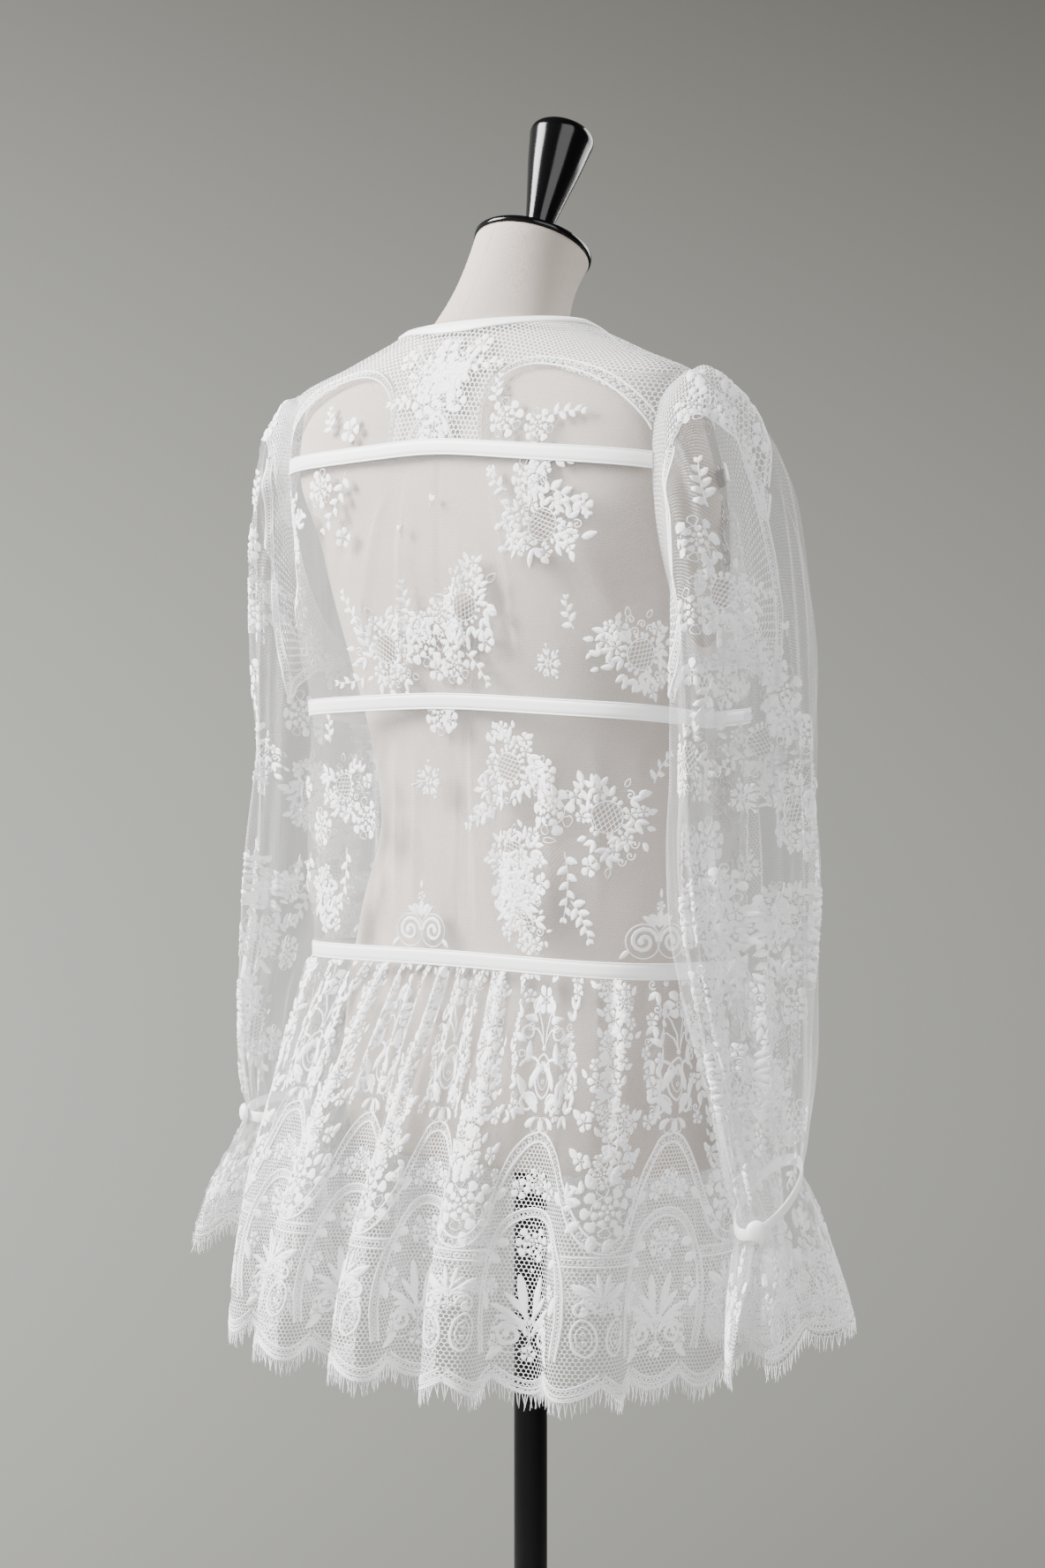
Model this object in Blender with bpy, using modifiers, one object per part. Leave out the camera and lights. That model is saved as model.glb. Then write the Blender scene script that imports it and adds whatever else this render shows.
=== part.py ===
"""Long-sleeved lace blouse with a gathered peplum, worn by a limbless dress form on a pole.

Metres, +Z up. The wearer faces -Y, so the centre back is on +Y and the wearer's left side on +X.
The origin is on the floor, at the centre of the stand's underside.
"""

import math
from collections import namedtuple

import bmesh
import bpy
import numpy as np
from mathutils import Matrix, Vector

CM = 0.01

# Cloth and trim
LACE_WALL = 0.0012
TAPE_WALL = 0.0010
SEAM_GAP = 0.0003
TAPE_LIFT = 0.0004
TAPE_WIDTH = 0.012
BINDING_WIDTH = 0.009

# Heights above the floor of the seams that the tapes cover. The upper one sags towards the armholes.
UPPER_SEAM_BACK = 1.293
UPPER_SEAM_FRONT = 1.278
MIDDLE_SEAM = 1.107
MIDDLE_SEAM_SAG = 0.011
LOWER_SEAM = 0.918
LOWER_SEAM_SAG = 0.004

# Horizontal sections through the worn blouse, in centimetres. Back and front are the y of the cloth at the
# centre back and the centre front, and middle is the y of the side seam. A higher square is a boxier half.
Section = namedtuple("Section", "height half_width back front middle back_square front_square")
BODY = [
    Section(90.0, 17.4, 9.7, -10.6, 0.0, 4.3, 2.7),
    Section(102.0, 17.3, 9.7, -11.2, 0.3, 4.3, 2.7),
    Section(110.5, 17.3, 10.1, -12.2, 1.0, 4.3, 2.7),
    Section(115.0, 17.5, 10.6, -12.6, 1.6, 4.1, 2.6),
    Section(122.0, 18.2, 11.2, -11.0, 2.8, 3.7, 2.5),
    Section(129.0, 18.9, 11.1, -6.8, 4.4, 3.0, 2.4),
    Section(134.2, 18.8, 10.3, -3.4, 5.2, 2.3, 2.2),
    Section(136.5, 13.6, 9.6, -2.2, 4.7, 2.1, 2.1),
    Section(138.8, 8.2, 8.6, -0.9, 4.0, 2.0, 2.0),
    Section(140.0, 6.4, 8.2, -0.2, 3.9, 2.0, 2.0),
]

# The same for the gathered peplum, hanging from the lower seam
PEPLUM = [
    Section(62.0, 19.8, 19.3, -10.8, 4.0, 2.6, 2.6),
    Section(68.0, 19.9, 18.3, -11.4, 3.6, 2.65, 2.6),
    Section(74.0, 19.8, 16.8, -12.2, 2.8, 2.8, 2.6),
    Section(82.0, 19.1, 14.2, -12.4, 1.5, 3.1, 2.6),
    Section(88.0, 18.1, 11.5, -11.6, 0.5, 3.8, 2.7),
    Section(91.8, 17.4, 9.7, -10.6, 0.0, 4.3, 2.7),
]

# The dress form below the shoulders
FORM = [
    Section(76.5, 16.0, 8.8, -8.8, 0.0, 2.3, 2.3),
    Section(81.5, 16.7, 9.9, -9.6, 0.0, 2.3, 2.3),
    Section(88.0, 16.5, 9.2, -9.7, 0.0, 2.3, 2.3),
    Section(94.0, 15.4, 8.5, -9.2, 0.0, 2.3, 2.3),
    Section(102.0, 12.9, 8.4, -8.6, 0.3, 2.2, 2.2),
    Section(108.0, 13.4, 9.0, -9.6, 0.9, 2.3, 2.3),
    Section(114.0, 14.8, 9.8, -11.7, 1.4, 2.5, 2.4),
    Section(118.0, 15.7, 10.2, -11.9, 2.0, 2.7, 2.4),
    Section(122.0, 16.3, 10.6, -10.4, 2.8, 2.9, 2.4),
    Section(129.0, 17.6, 10.6, -6.3, 4.4, 2.8, 2.4),
]
FORM_BOTTOM = 0.765
FORM_MEETS_CLOTH = (1.215, 1.285)
FORM_SHOULDER_GAP = 0.0026
FORM_BACK_GAP = 0.0044
FORM_SHOULDER_SLIM = 0.0215
NECK_BASE_HEIGHT = 1.386

# The armhole, an egg-shaped loop cut in the side of the body
ARMHOLE_MIDDLE = 1.246
ARMHOLE_HALF_HEIGHT = 0.096
ARMHOLE_HALF_WIDTH = 0.043
ARMHOLE_LEAN = 0.036
ARMHOLE_STEPS = 8

# The neckline: level at the back, scooped at the front
NECK_BACK_HEIGHT = 1.388
NECK_FRONT_HEIGHT = 1.304

# Each sleeve row is a ring between its inner and its outer line, for the left sleeve, in centimetres.
# Reach is half the ring's depth, and droop is half of how far its back hangs below its front.
Ring = namedtuple("Ring", "in_x in_y in_z out_x out_y out_z reach droop")
SLEEVE = [
    Ring(18.5, 1.8, 114.8, 19.4, 5.1, 134.6, 4.6, 0.0),
    Ring(18.6, 1.8, 113.9, 20.6, 4.7, 134.9, 5.3, 0.0),
    Ring(18.4, 1.8, 112.0, 22.2, 4.0, 133.0, 6.0, 0.0),
    Ring(18.2, 1.6, 109.2, 23.4, 3.1, 128.4, 6.7, 0.0),
    Ring(18.1, 1.5, 106.2, 23.9, 2.3, 121.8, 7.1, 0.0),
    Ring(18.1, 1.4, 102.8, 24.2, 1.9, 114.2, 7.3, 0.0),
    Ring(18.1, 1.4, 98.8, 24.3, 1.7, 106.0, 7.4, 0.1),
    Ring(18.5, 1.6, 94.6, 24.6, 1.8, 98.4, 7.2, 0.2),
    Ring(19.4, 2.0, 90.2, 25.1, 2.3, 91.8, 6.3, 0.5),
    Ring(20.7, 2.5, 85.4, 25.8, 2.8, 86.0, 5.2, 1.0),
    Ring(21.6, 2.9, 80.6, 26.2, 3.1, 81.0, 4.2, 1.7),
    Ring(22.1, 3.0, 76.4, 26.3, 3.2, 76.8, 2.9, 2.3),
]
CUFF = [
    Ring(22.4, 3.0, 73.2, 27.2, 3.3, 73.6, 4.1, 2.0),
    Ring(22.7, 3.1, 71.0, 27.9, 3.4, 71.4, 5.3, 1.2),
    Ring(22.9, 3.2, 69.0, 28.4, 3.4, 69.4, 6.1, 0.5),
    Ring(23.0, 3.2, 67.4, 28.7, 3.4, 67.7, 6.6, 0.2),
]
SLEEVE_ARM_ROWS = 3
SLEEVE_COLUMNS = 2 * ARMHOLE_STEPS
# How each sleeve hangs: its side, its fullness, its share of the wrist's droop, and its wrist's lift
Hang = namedtuple("Hang", "side width droop lift")
HANGS = {"left": Hang(1, 0.86, 0.25, 0.018), "right": Hang(-1, 1.0, 1.0, 0.0)}
SLEEVE_HEAD_PUFF = 0.004
SLEEVE_FOLDS = 4
SLEEVE_FOLD_DEPTH = 0.004
WRIST_GATHERS = 6
WRIST_GATHER_DEPTH = 0.0025
CUFF_BAND_HEIGHT = 0.008
CUFF_SLIT_TURN = math.radians(65)
CUFF_SLIT_HALF = math.radians(5)
CUFF_SLIT_SPREAD = math.radians(11)
CUFF_COLUMNS = 24
CUFF_SCALLOPS = 8
CUFF_WAVES = 4
CUFF_WAVE_DEPTH = 0.008
CUFF_CORNER_DROP = 0.014

# The peplum's gathers, flutes and scalloped hem
FLUTES = 12
PEPLUM_SEAM_GAP = 0.0010
SCALLOPS = 36
COLUMNS_PER_SCALLOP = 3
PEPLUM_COLUMNS = SCALLOPS * COLUMNS_PER_SCALLOP
PEPLUM_ROWS = [0.918, 0.911, 0.900, 0.860, 0.800, 0.730, 0.662]
HEM_HEIGHT = 0.638
SCALLOP_DEPTH = 0.010
FLUTE_DEPTH = 0.019
FLUTE_OVERHANG = 0.007
GATHER_DEPTH = 0.003
EYELET_WIDTH = 0.0048
EYELET_HEIGHT = 0.0056

# Eyelash fringe along the scalloped edges
FRINGE_STRIP = 0.0015
FRINGE_LENGTH = 0.011
STRAND_WIDTH = 0.0012
FRINGE_WALL = 0.0009

# The body panels are grids with one row to a level, a line whose height is given at the side, the centre back
# and the centre front. Bend is how soon the line rises from the centre to the height at its side.
Level = namedtuple("Level", "side back front bend", defaults=(1.0,))
BODY_COLUMNS = 14
NECK_BEND = 2.6
UPPER_SEAM_STEP = 3
UNDERARM_ROW = 1.130
TAPE_END_GAP = 0.003
SHOULDER_RISE = 0.40
CHEST_RISE = 0.75

# The wearer's right shoulder hangs lower than the left. Slope of the level lines against their height.
Lean = namedtuple("Lean", "height slope")
LEANS = [Lean(0.92, 0.012), Lean(1.10, 0.026), Lean(1.28, 0.062), Lean(1.355, 0.042), Lean(1.42, 0.0)]

# Stand
POLE_RADIUS = 0.0127
BASE_RADIUS = 0.160
BASE_HEIGHT = 0.010
SOCKET_RADIUS = 0.021
SOCKET_HEIGHT = 0.030
PLATE_RADIUS = 0.046
PLATE_HEIGHT = 0.005
NECK_TILT = math.radians(21)
PLATE_CENTRE = (0.0, -0.0015, 1.453)
BUTTON_RADIUS = 0.0075
BUTTON_HEIGHT = 0.006
BUTTON_RISE = 0.001
BUTTON_LIFT = 0.0008
LABEL_WIDTH = 0.036
LABEL_HEIGHT = 0.028
LABEL_WALL = 0.0010
LABEL_GAP = 0.0009
LABEL_BELOW_NECK = 0.012

# Part colours: red, green, blue, roughness
LACE_WHITE = (0.90, 0.90, 0.92, 0.85)
TAPE_WHITE = (0.93, 0.93, 0.94, 0.55)
LABEL_WHITE = (0.94, 0.94, 0.93, 0.60)
LINEN = (0.70, 0.66, 0.62, 0.90)
BLACK_LACQUER = (0.010, 0.010, 0.012, 0.12)
BLACK_STEEL = (0.014, 0.014, 0.015, 0.35)


def clear_scene():
    for thing in list(bpy.data.objects):
        bpy.data.objects.remove(thing)


def collection_named(name):
    made = bpy.data.collections.new(name)
    bpy.context.scene.collection.children.link(made)
    return made


def material(name, finish):
    """A plain Principled material from red, green, blue and roughness."""
    found = bpy.data.materials.get(name)
    if found:
        return found
    made = bpy.data.materials.new(name)
    made.use_nodes = True
    shader = made.node_tree.nodes["Principled BSDF"]
    shader.inputs["Base Color"].default_value = (*finish[:3], 1.0)
    shader.inputs["Roughness"].default_value = finish[3]
    made.diffuse_color = (*finish[:3], 1.0)
    return made


def smoothstep(low, high, value):
    share = min(1.0, max(0.0, (value - low) / (high - low)))
    return share * share * (3 - 2 * share)


def column(table, heading, value, key="height"):
    """A table's column read at any key: a cubic through the rows that never overshoots them."""
    keys = [getattr(row, key) for row in table]
    ys = [getattr(row, heading) for row in table]
    if value <= keys[0]:
        return ys[0]
    if value >= keys[-1]:
        return ys[-1]
    slopes = [(ys[i + 1] - ys[i]) / (keys[i + 1] - keys[i]) for i in range(len(ys) - 1)]
    tangents = [slopes[0]]
    for before, after in zip(slopes, slopes[1:]):
        tangents.append(0.0 if before * after <= 0 else 2 * before * after / (before + after))
    tangents.append(slopes[-1])
    i = max(k for k in range(len(keys) - 1) if keys[k] <= value)
    step = keys[i + 1] - keys[i]
    t = (value - keys[i]) / step
    return (
        (1 + 2 * t) * (1 - t) ** 2 * ys[i]
        + t * (1 - t) ** 2 * step * tangents[i]
        + t * t * (3 - 2 * t) * ys[i + 1]
        + t * t * (t - 1) * step * tangents[i + 1]
    )


def section_point(table, turn, height):
    """A point of a horizontal section. Turn 0 is the centre back, a quarter turn is the left side."""
    z = height / CM
    half_width = column(table, "half_width", z)
    middle = column(table, "middle", z)
    behind = math.cos(turn) >= 0
    depth = abs(column(table, "back" if behind else "front", z) - middle)
    square = column(table, "back_square" if behind else "front_square", z)
    spread = (abs(math.sin(turn)) / half_width) ** square + (abs(math.cos(turn)) / depth) ** square
    radius = spread ** (-1 / square)
    return np.array([radius * math.sin(turn), middle + radius * math.cos(turn), z]) * CM


def body_point(turn, height):
    return section_point(BODY, turn, height)


def outward(surface, turn, height, step=1e-3):
    """Unit vector square to a surface of turn and height, pointing out of the garment."""
    across = surface(turn + step, height) - surface(turn - step, height)
    up = surface(turn, height + step) - surface(turn, height - step)
    away = np.cross(up, across)
    return away / np.linalg.norm(away)


def settled(point):
    """The blouse and the form lean a little: the wearer's right shoulder hangs lower than the left."""
    x, y, z = point
    return Vector((x, y, z + column(LEANS, "slope", z) * x))


def armhole_edge(angle):
    """A point of the left armhole: angle 0 is the shoulder tip, a quarter turn the back, half the underarm."""
    height = ARMHOLE_MIDDLE + ARMHOLE_HALF_HEIGHT * math.cos(angle)
    bottom = ARMHOLE_MIDDLE - ARMHOLE_HALF_HEIGHT
    centre = column(BODY, "middle", bottom / CM) * CM
    centre += ARMHOLE_LEAN * (height - bottom) / (2 * ARMHOLE_HALF_HEIGHT)
    y = centre + ARMHOLE_HALF_WIDTH * math.sin(angle)
    z = height / CM
    middle = column(BODY, "middle", z)
    half_width = column(BODY, "half_width", z)
    behind = y / CM >= middle
    depth = abs(column(BODY, "back" if behind else "front", z) - middle)
    square = column(BODY, "back_square" if behind else "front_square", z)
    share = min(1.0, abs(y / CM - middle) / depth)
    x = half_width * (1 - share**square) ** (1 / square) * CM
    return np.array([x, y, height])


def side_turn(height, behind):
    """How far a panel reaches from the centre at a height: to the armhole or the side seam."""
    cosine = (height - ARMHOLE_MIDDLE) / ARMHOLE_HALF_HEIGHT
    if abs(cosine) >= 1:
        return math.pi / 2
    angle = math.acos(cosine)
    x, y, _ = armhole_edge(angle if behind else -angle)
    middle = column(BODY, "middle", height / CM) * CM
    return math.atan2(x, y - middle)


def armhole_height(step):
    """Height of the armhole's edge at a whole step round it from the shoulder tip."""
    return ARMHOLE_MIDDLE + ARMHOLE_HALF_HEIGHT * math.cos(math.pi * step / ARMHOLE_STEPS)


def seam_level(height, sag):
    """A level line that is lower by its sag at the side seams than at the centre."""
    return Level(height - sag, height, height)


def turned(turn, behind):
    """Turns measured from the centre front are counted on from half a turn."""
    return turn if behind else math.pi - turn


def level_point(level, share, behind):
    """A point of a level line. Share runs from -1 at the right side seam to 1 at the left one."""
    reach = side_turn(level.side, behind)
    if not behind:
        reach = math.pi - reach
    centre = level.back if behind else level.front
    height = centre + (level.side - centre) * (1 - (1 - share * share) ** level.bend)
    return body_point(turned(share * reach, behind), height)


def panel_rows(levels, behind, columns=BODY_COLUMNS, low=-1.0, high=1.0):
    """A grid of points on the body, one row to a level."""
    shares = [low + (high - low) * k / columns for k in range(columns + 1)]
    return np.array([[level_point(level, share, behind) for share in shares] for level in levels])


def trimmed(points, gap=SEAM_GAP, rows_only=False):
    """A grid with its edges drawn in by half the seam gap."""
    grid = points.copy()
    edges = [(np.s_[0], np.s_[1]), (np.s_[-1], np.s_[-2])]
    if not rows_only:
        edges += [(np.s_[:, 0], np.s_[:, 1]), (np.s_[:, -1], np.s_[:, -2])]
    for edge, inner in edges:
        way = points[inner] - points[edge]
        grid[edge] += way / np.linalg.norm(way, axis=-1, keepdims=True) * gap / 2
    return grid


def fill_grid(mesh, points, ring=False, out_first=True):
    """Adds a grid of points to a mesh and returns its faces by (row, column)."""
    rows, columns = points.shape[:2]
    grid = [[mesh.verts.new(settled(p)) for p in row] for row in points]
    cells = {}
    for i in range(rows - 1):
        for k in range(columns if ring else columns - 1):
            after = (k + 1) % columns
            corners = [grid[i][k], grid[i + 1][k], grid[i + 1][after], grid[i][after]]
            cells[i, k] = mesh.faces.new(corners if out_first else corners[::-1])
    return cells


def cloth(name, points, finish, wall, ring=False, out_first=True, eyelets=()):
    """A wall of cloth with its outer face on a grid of points and its inner face one wall inside.

    Eyelets are (row, column) of the grid's cells that get a hole through them.
    """
    mesh = bmesh.new()
    cells = fill_grid(mesh, points, ring, out_first)
    for cell in eyelets:
        cut_eyelet(mesh, cells[cell])
    data = bpy.data.meshes.new(name)
    mesh.to_mesh(data)
    mesh.free()
    return walled(name, data, finish, wall)


def cut_eyelet(mesh, face):
    """Insets a face, squares the inset to an eyelet's size and takes it out."""
    bmesh.ops.inset_individual(mesh, faces=[face], thickness=0.0015)
    centre = face.calc_center_median()
    corners = list(face.verts)
    along = (corners[3].co - corners[0].co + corners[2].co - corners[1].co).normalized()
    up = (corners[1].co - corners[0].co + corners[2].co - corners[3].co).normalized()
    for corner, (s, t) in zip(corners, ((-1, -1), (-1, 1), (1, 1), (1, -1))):
        corner.co = centre + along * s * EYELET_WIDTH / 2 + up * t * EYELET_HEIGHT / 2
    bmesh.ops.delete(mesh, geom=[face], context="FACES")


def walled(name, data, finish, wall):
    """An object for a sheet of faces, made solid by its Solidify modifier."""
    thing = bpy.data.objects.new(name, data)
    PARTS.objects.link(thing)
    data.materials.append(material(finish[0], finish[1]))
    solid = thing.modifiers.new("Wall", "SOLIDIFY")
    solid.thickness = wall
    solid.offset = -1
    data.shade_smooth()
    return thing


LACE = ("lace", LACE_WHITE)
TAPE = ("tape", TAPE_WHITE)


def yoke_levels():
    """Levels from the upper seam to the neckline. Their sides climb the armhole, then the shoulder seam."""
    half = TAPE_WIDTH / 2
    side = armhole_height(UPPER_SEAM_STEP)
    levels = [
        Level(side, UPPER_SEAM_BACK, UPPER_SEAM_FRONT),
        Level(side + half, UPPER_SEAM_BACK + half, UPPER_SEAM_FRONT + half),
    ]
    tip = armhole_height(0)
    top = neck_edge_level(BINDING_WIDTH)
    sides = [armhole_height(step) for step in range(UPPER_SEAM_STEP - 1, -1, -1)]
    sides += [tip + (top.side - tip) * share for share in (0.35, 0.7)]
    for k, height in enumerate(sides):
        share = (k + 1) / (len(sides) + 1)
        back = levels[1].back + (top.back - levels[1].back) * share
        front = levels[1].front + (top.front - levels[1].front) * share
        levels.append(Level(height, back, front, 1 + (NECK_BEND - 1) * share))
    return levels + [top, neck_edge_level(0.0)]


def neck_edge_level(below):
    """The level a distance below the neckline, measured along the cloth."""
    return Level(
        NECK_BACK_HEIGHT - below * SHOULDER_RISE,
        NECK_BACK_HEIGHT - below,
        NECK_FRONT_HEIGHT - below * CHEST_RISE,
        NECK_BEND,
    )


def make_yoke():
    """The yoke in one piece, from the upper seam over the shoulders to the neckline."""
    levels = yoke_levels()
    mesh = bmesh.new()
    for behind in (True, False):
        rows = panel_rows(levels, behind)
        fill_grid(mesh, trimmed(rows, rows_only=True), out_first=behind)
    bmesh.ops.remove_doubles(mesh, verts=mesh.verts, dist=1e-5)
    data = bpy.data.meshes.new("yoke")
    mesh.to_mesh(data)
    mesh.free()
    walled("yoke", data, LACE, LACE_WALL)


def upper_tier_levels():
    half = TAPE_WIDTH / 2
    low = MIDDLE_SEAM - MIDDLE_SEAM_SAG
    levels = [seam_level(MIDDLE_SEAM, MIDDLE_SEAM_SAG), seam_level(MIDDLE_SEAM + half, MIDDLE_SEAM_SAG)]
    levels.append(Level(UNDERARM_ROW, UNDERARM_ROW + MIDDLE_SEAM_SAG, UNDERARM_ROW + MIDDLE_SEAM_SAG))
    top = armhole_height(UPPER_SEAM_STEP)
    for step in range(ARMHOLE_STEPS, UPPER_SEAM_STEP, -1):
        side = armhole_height(step)
        rise = (side - low) / (top - low)
        back = MIDDLE_SEAM + (UPPER_SEAM_BACK - MIDDLE_SEAM) * rise
        front = MIDDLE_SEAM + (UPPER_SEAM_FRONT - MIDDLE_SEAM) * rise
        levels.append(Level(side, back, front))
    levels.append(Level(top - half, UPPER_SEAM_BACK - half, UPPER_SEAM_FRONT - half))
    levels.append(Level(top, UPPER_SEAM_BACK, UPPER_SEAM_FRONT))
    return levels


def make_upper_tier():
    """Lace between the upper and the middle tape, reaching the lower two thirds of the armholes."""
    for name, behind in (("back_upper", True), ("front_upper", False)):
        rows = panel_rows(upper_tier_levels(), behind)
        cloth(name, trimmed(rows), LACE, LACE_WALL, out_first=behind)


def lower_tier_levels():
    half = TAPE_WIDTH / 2
    heights = [LOWER_SEAM, LOWER_SEAM + half, 0.966, 1.013, 1.060, MIDDLE_SEAM - half, MIDDLE_SEAM]
    levels = []
    for height in heights:
        rise = (height - LOWER_SEAM) / (MIDDLE_SEAM - LOWER_SEAM)
        levels.append(seam_level(height, LOWER_SEAM_SAG + (MIDDLE_SEAM_SAG - LOWER_SEAM_SAG) * rise))
    return levels


def make_lower_tier():
    """Lace between the middle and the lower tape. The back has a centre seam."""
    half = BODY_COLUMNS // 2
    for name, behind, columns, low, high in (
        ("back_lower_right", True, half, -1.0, 0.0),
        ("back_lower_left", True, half, 0.0, 1.0),
        ("front_lower", False, BODY_COLUMNS, -1.0, 1.0),
    ):
        rows = panel_rows(lower_tier_levels(), behind, columns, low, high)
        cloth(name, trimmed(rows), LACE, LACE_WALL, out_first=behind)


def lifted(rows, lift, ring=False):
    """A grid of points moved out, square to the grid itself."""
    wide = np.concatenate([rows[:, -1:], rows, rows[:, :1]], axis=1) if ring else rows
    away = np.cross(np.gradient(wide, axis=0), np.gradient(wide, axis=1))
    away /= np.linalg.norm(away, axis=2, keepdims=True)
    return rows + (away[:, 1:-1] if ring else away) * lift


def shortened(rows, length):
    """A grid whose first and last columns are drawn in along their own stretches."""
    short = rows.copy()
    for end, inner in ((0, 1), (-1, -2)):
        way = rows[:, inner] - rows[:, end]
        short[:, end] += way / np.linalg.norm(way, axis=1, keepdims=True) * length
    return short


def make_tapes():
    """Smooth tapes over the three seams, their points taken from the cloth and moved out."""
    half = TAPE_WIDTH / 2
    lower = lower_tier_levels()
    below = seam_level(LOWER_SEAM - half, LOWER_SEAM_SAG)
    for name, levels in (
        ("tape_middle", [*lower[-2:], upper_tier_levels()[1]]),
        ("tape_lower", [below, *lower[:2]]),
    ):
        back = panel_rows(levels, True)
        front = panel_rows(levels, False)[:, ::-1]
        around = np.concatenate([back[:, :-1], front[:, :-1]], axis=1)
        cloth(name, lifted(around, TAPE_LIFT + TAPE_WALL, ring=True), TAPE, TAPE_WALL, ring=True)
    levels = [upper_tier_levels()[-2], *yoke_levels()[:2]]
    for name, behind in (("tape_upper_back", True), ("tape_upper_front", False)):
        rows = shortened(panel_rows(levels, behind), TAPE_END_GAP)
        away = lifted(rows, (TAPE_LIFT + TAPE_WALL) * (1 if behind else -1))
        cloth(name, away, TAPE, TAPE_WALL, out_first=behind)


def make_neck_binding():
    """The smooth binding round the neckline."""
    levels = yoke_levels()[-2:]
    back = panel_rows(levels, True)
    front = panel_rows(levels, False)[:, ::-1]
    around = np.concatenate([back[:, :-1], front[:, :-1]], axis=1)
    cloth("neck_binding", lifted(around, TAPE_LIFT + TAPE_WALL, ring=True), TAPE, TAPE_WALL, ring=True)


def flute_angle(share):
    """Phase of the peplum's flutes at a share of the way round, with uneven spacing."""
    uneven = 0.16 * math.sin(2 * math.pi * (2 * share + 0.13))
    uneven += 0.10 * math.sin(2 * math.pi * (5 * share + 0.4))
    return 2 * math.pi * (FLUTES * share) + 2 * uneven


def chord_point(share, height):
    """A point on the straight stretches between the body's columns, where the tape lies on the peplum."""
    columns = 2 * BODY_COLUMNS
    first = math.floor(share * columns)
    part = share * columns - first
    ends = []
    for k in (first, first + 1):
        turn = 2 * math.pi * k / columns
        ends.append(body_point(turn, height - LOWER_SEAM_SAG * seam_share(turn) ** 2))
    return ends[0] * (1 - part) + ends[1] * part


def seam_share(turn):
    """How far a turn is from the centre back or front toward the side seam, from 0 to 1."""
    return abs(math.remainder(turn, math.pi)) / (math.pi / 2)


def peplum_point(share, height):
    """The peplum's outer face: small gathers at the seam that open into deep flutes at the hem."""
    turn = 2 * math.pi * share
    drop = min(1.0, (LOWER_SEAM - height) / (LOWER_SEAM - HEM_HEIGHT))
    if height > LOWER_SEAM - TAPE_WIDTH * 0.7:
        return chord_point(share, height)
    place = section_point(PEPLUM, turn, height)
    place[2] -= LOWER_SEAM_SAG * seam_share(turn) ** 2 * (1 - smoothstep(0.0, 0.5, drop))
    across = section_point(PEPLUM, turn + 1e-3, height) - section_point(PEPLUM, turn - 1e-3, height)
    across /= np.linalg.norm(across)
    away = np.array([-across[1], across[0], 0.0])
    phase = flute_angle(share)
    beside_sleeves = 0.45 + 0.55 * abs(math.cos(turn))
    opened = smoothstep(0.05, 0.95, drop) * beside_sleeves
    uneven = 1 + 0.22 * math.sin(2 * math.pi * (3 * share + 0.2))
    flute = FLUTE_DEPTH * opened * uneven
    gathered = smoothstep(0.03, 0.10, drop) * (1 - smoothstep(0.25, 0.75, drop))
    gather = GATHER_DEPTH * gathered * math.cos(2 * math.pi * SCALLOPS * share)
    lift = flute * math.cos(phase) + gather
    slide = FLUTE_OVERHANG * opened * math.sin(2 * phase)
    return place + away * lift + across * slide


def hem_height(share, scallops=SCALLOPS, depth=SCALLOP_DEPTH):
    return -depth * abs(math.sin(math.pi * scallops * share))


def peplum_grid(first, last):
    """Points of the peplum between two columns. Its last row is the scalloped hem."""
    rows = []
    for height in [*PEPLUM_ROWS, HEM_HEIGHT]:
        row = []
        for k in range(first, last + 1):
            share = k / PEPLUM_COLUMNS
            scallop = hem_height(share) if height == HEM_HEIGHT else 0.0
            row.append(peplum_point(share, height + scallop))
        rows.append(row)
    return np.array(rows)


def make_peplum():
    """Front and back halves of the peplum, with a row of eyelets above the hem."""
    quarter = PEPLUM_COLUMNS // 4
    eyelet_row = len(PEPLUM_ROWS) - 1
    for name, first in (("peplum_back", -quarter), ("peplum_front", quarter)):
        grid = trimmed(peplum_grid(first, first + 2 * quarter), PEPLUM_SEAM_GAP)
        holes = [
            (eyelet_row, k)
            for k in range(2 * quarter)
            if (first + k) % COLUMNS_PER_SCALLOP == 1 and (first + k) // COLUMNS_PER_SCALLOP % 2 == 0
        ]
        cloth(name, grid, LACE, LACE_WALL, out_first=False, eyelets=holes)
    edge = np.array([peplum_point(k / PEPLUM_COLUMNS, HEM_HEIGHT + hem_height(k / PEPLUM_COLUMNS))
                     for k in range(PEPLUM_COLUMNS)])
    make_fringe("hem_fringe", edge, ring=True)


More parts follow.
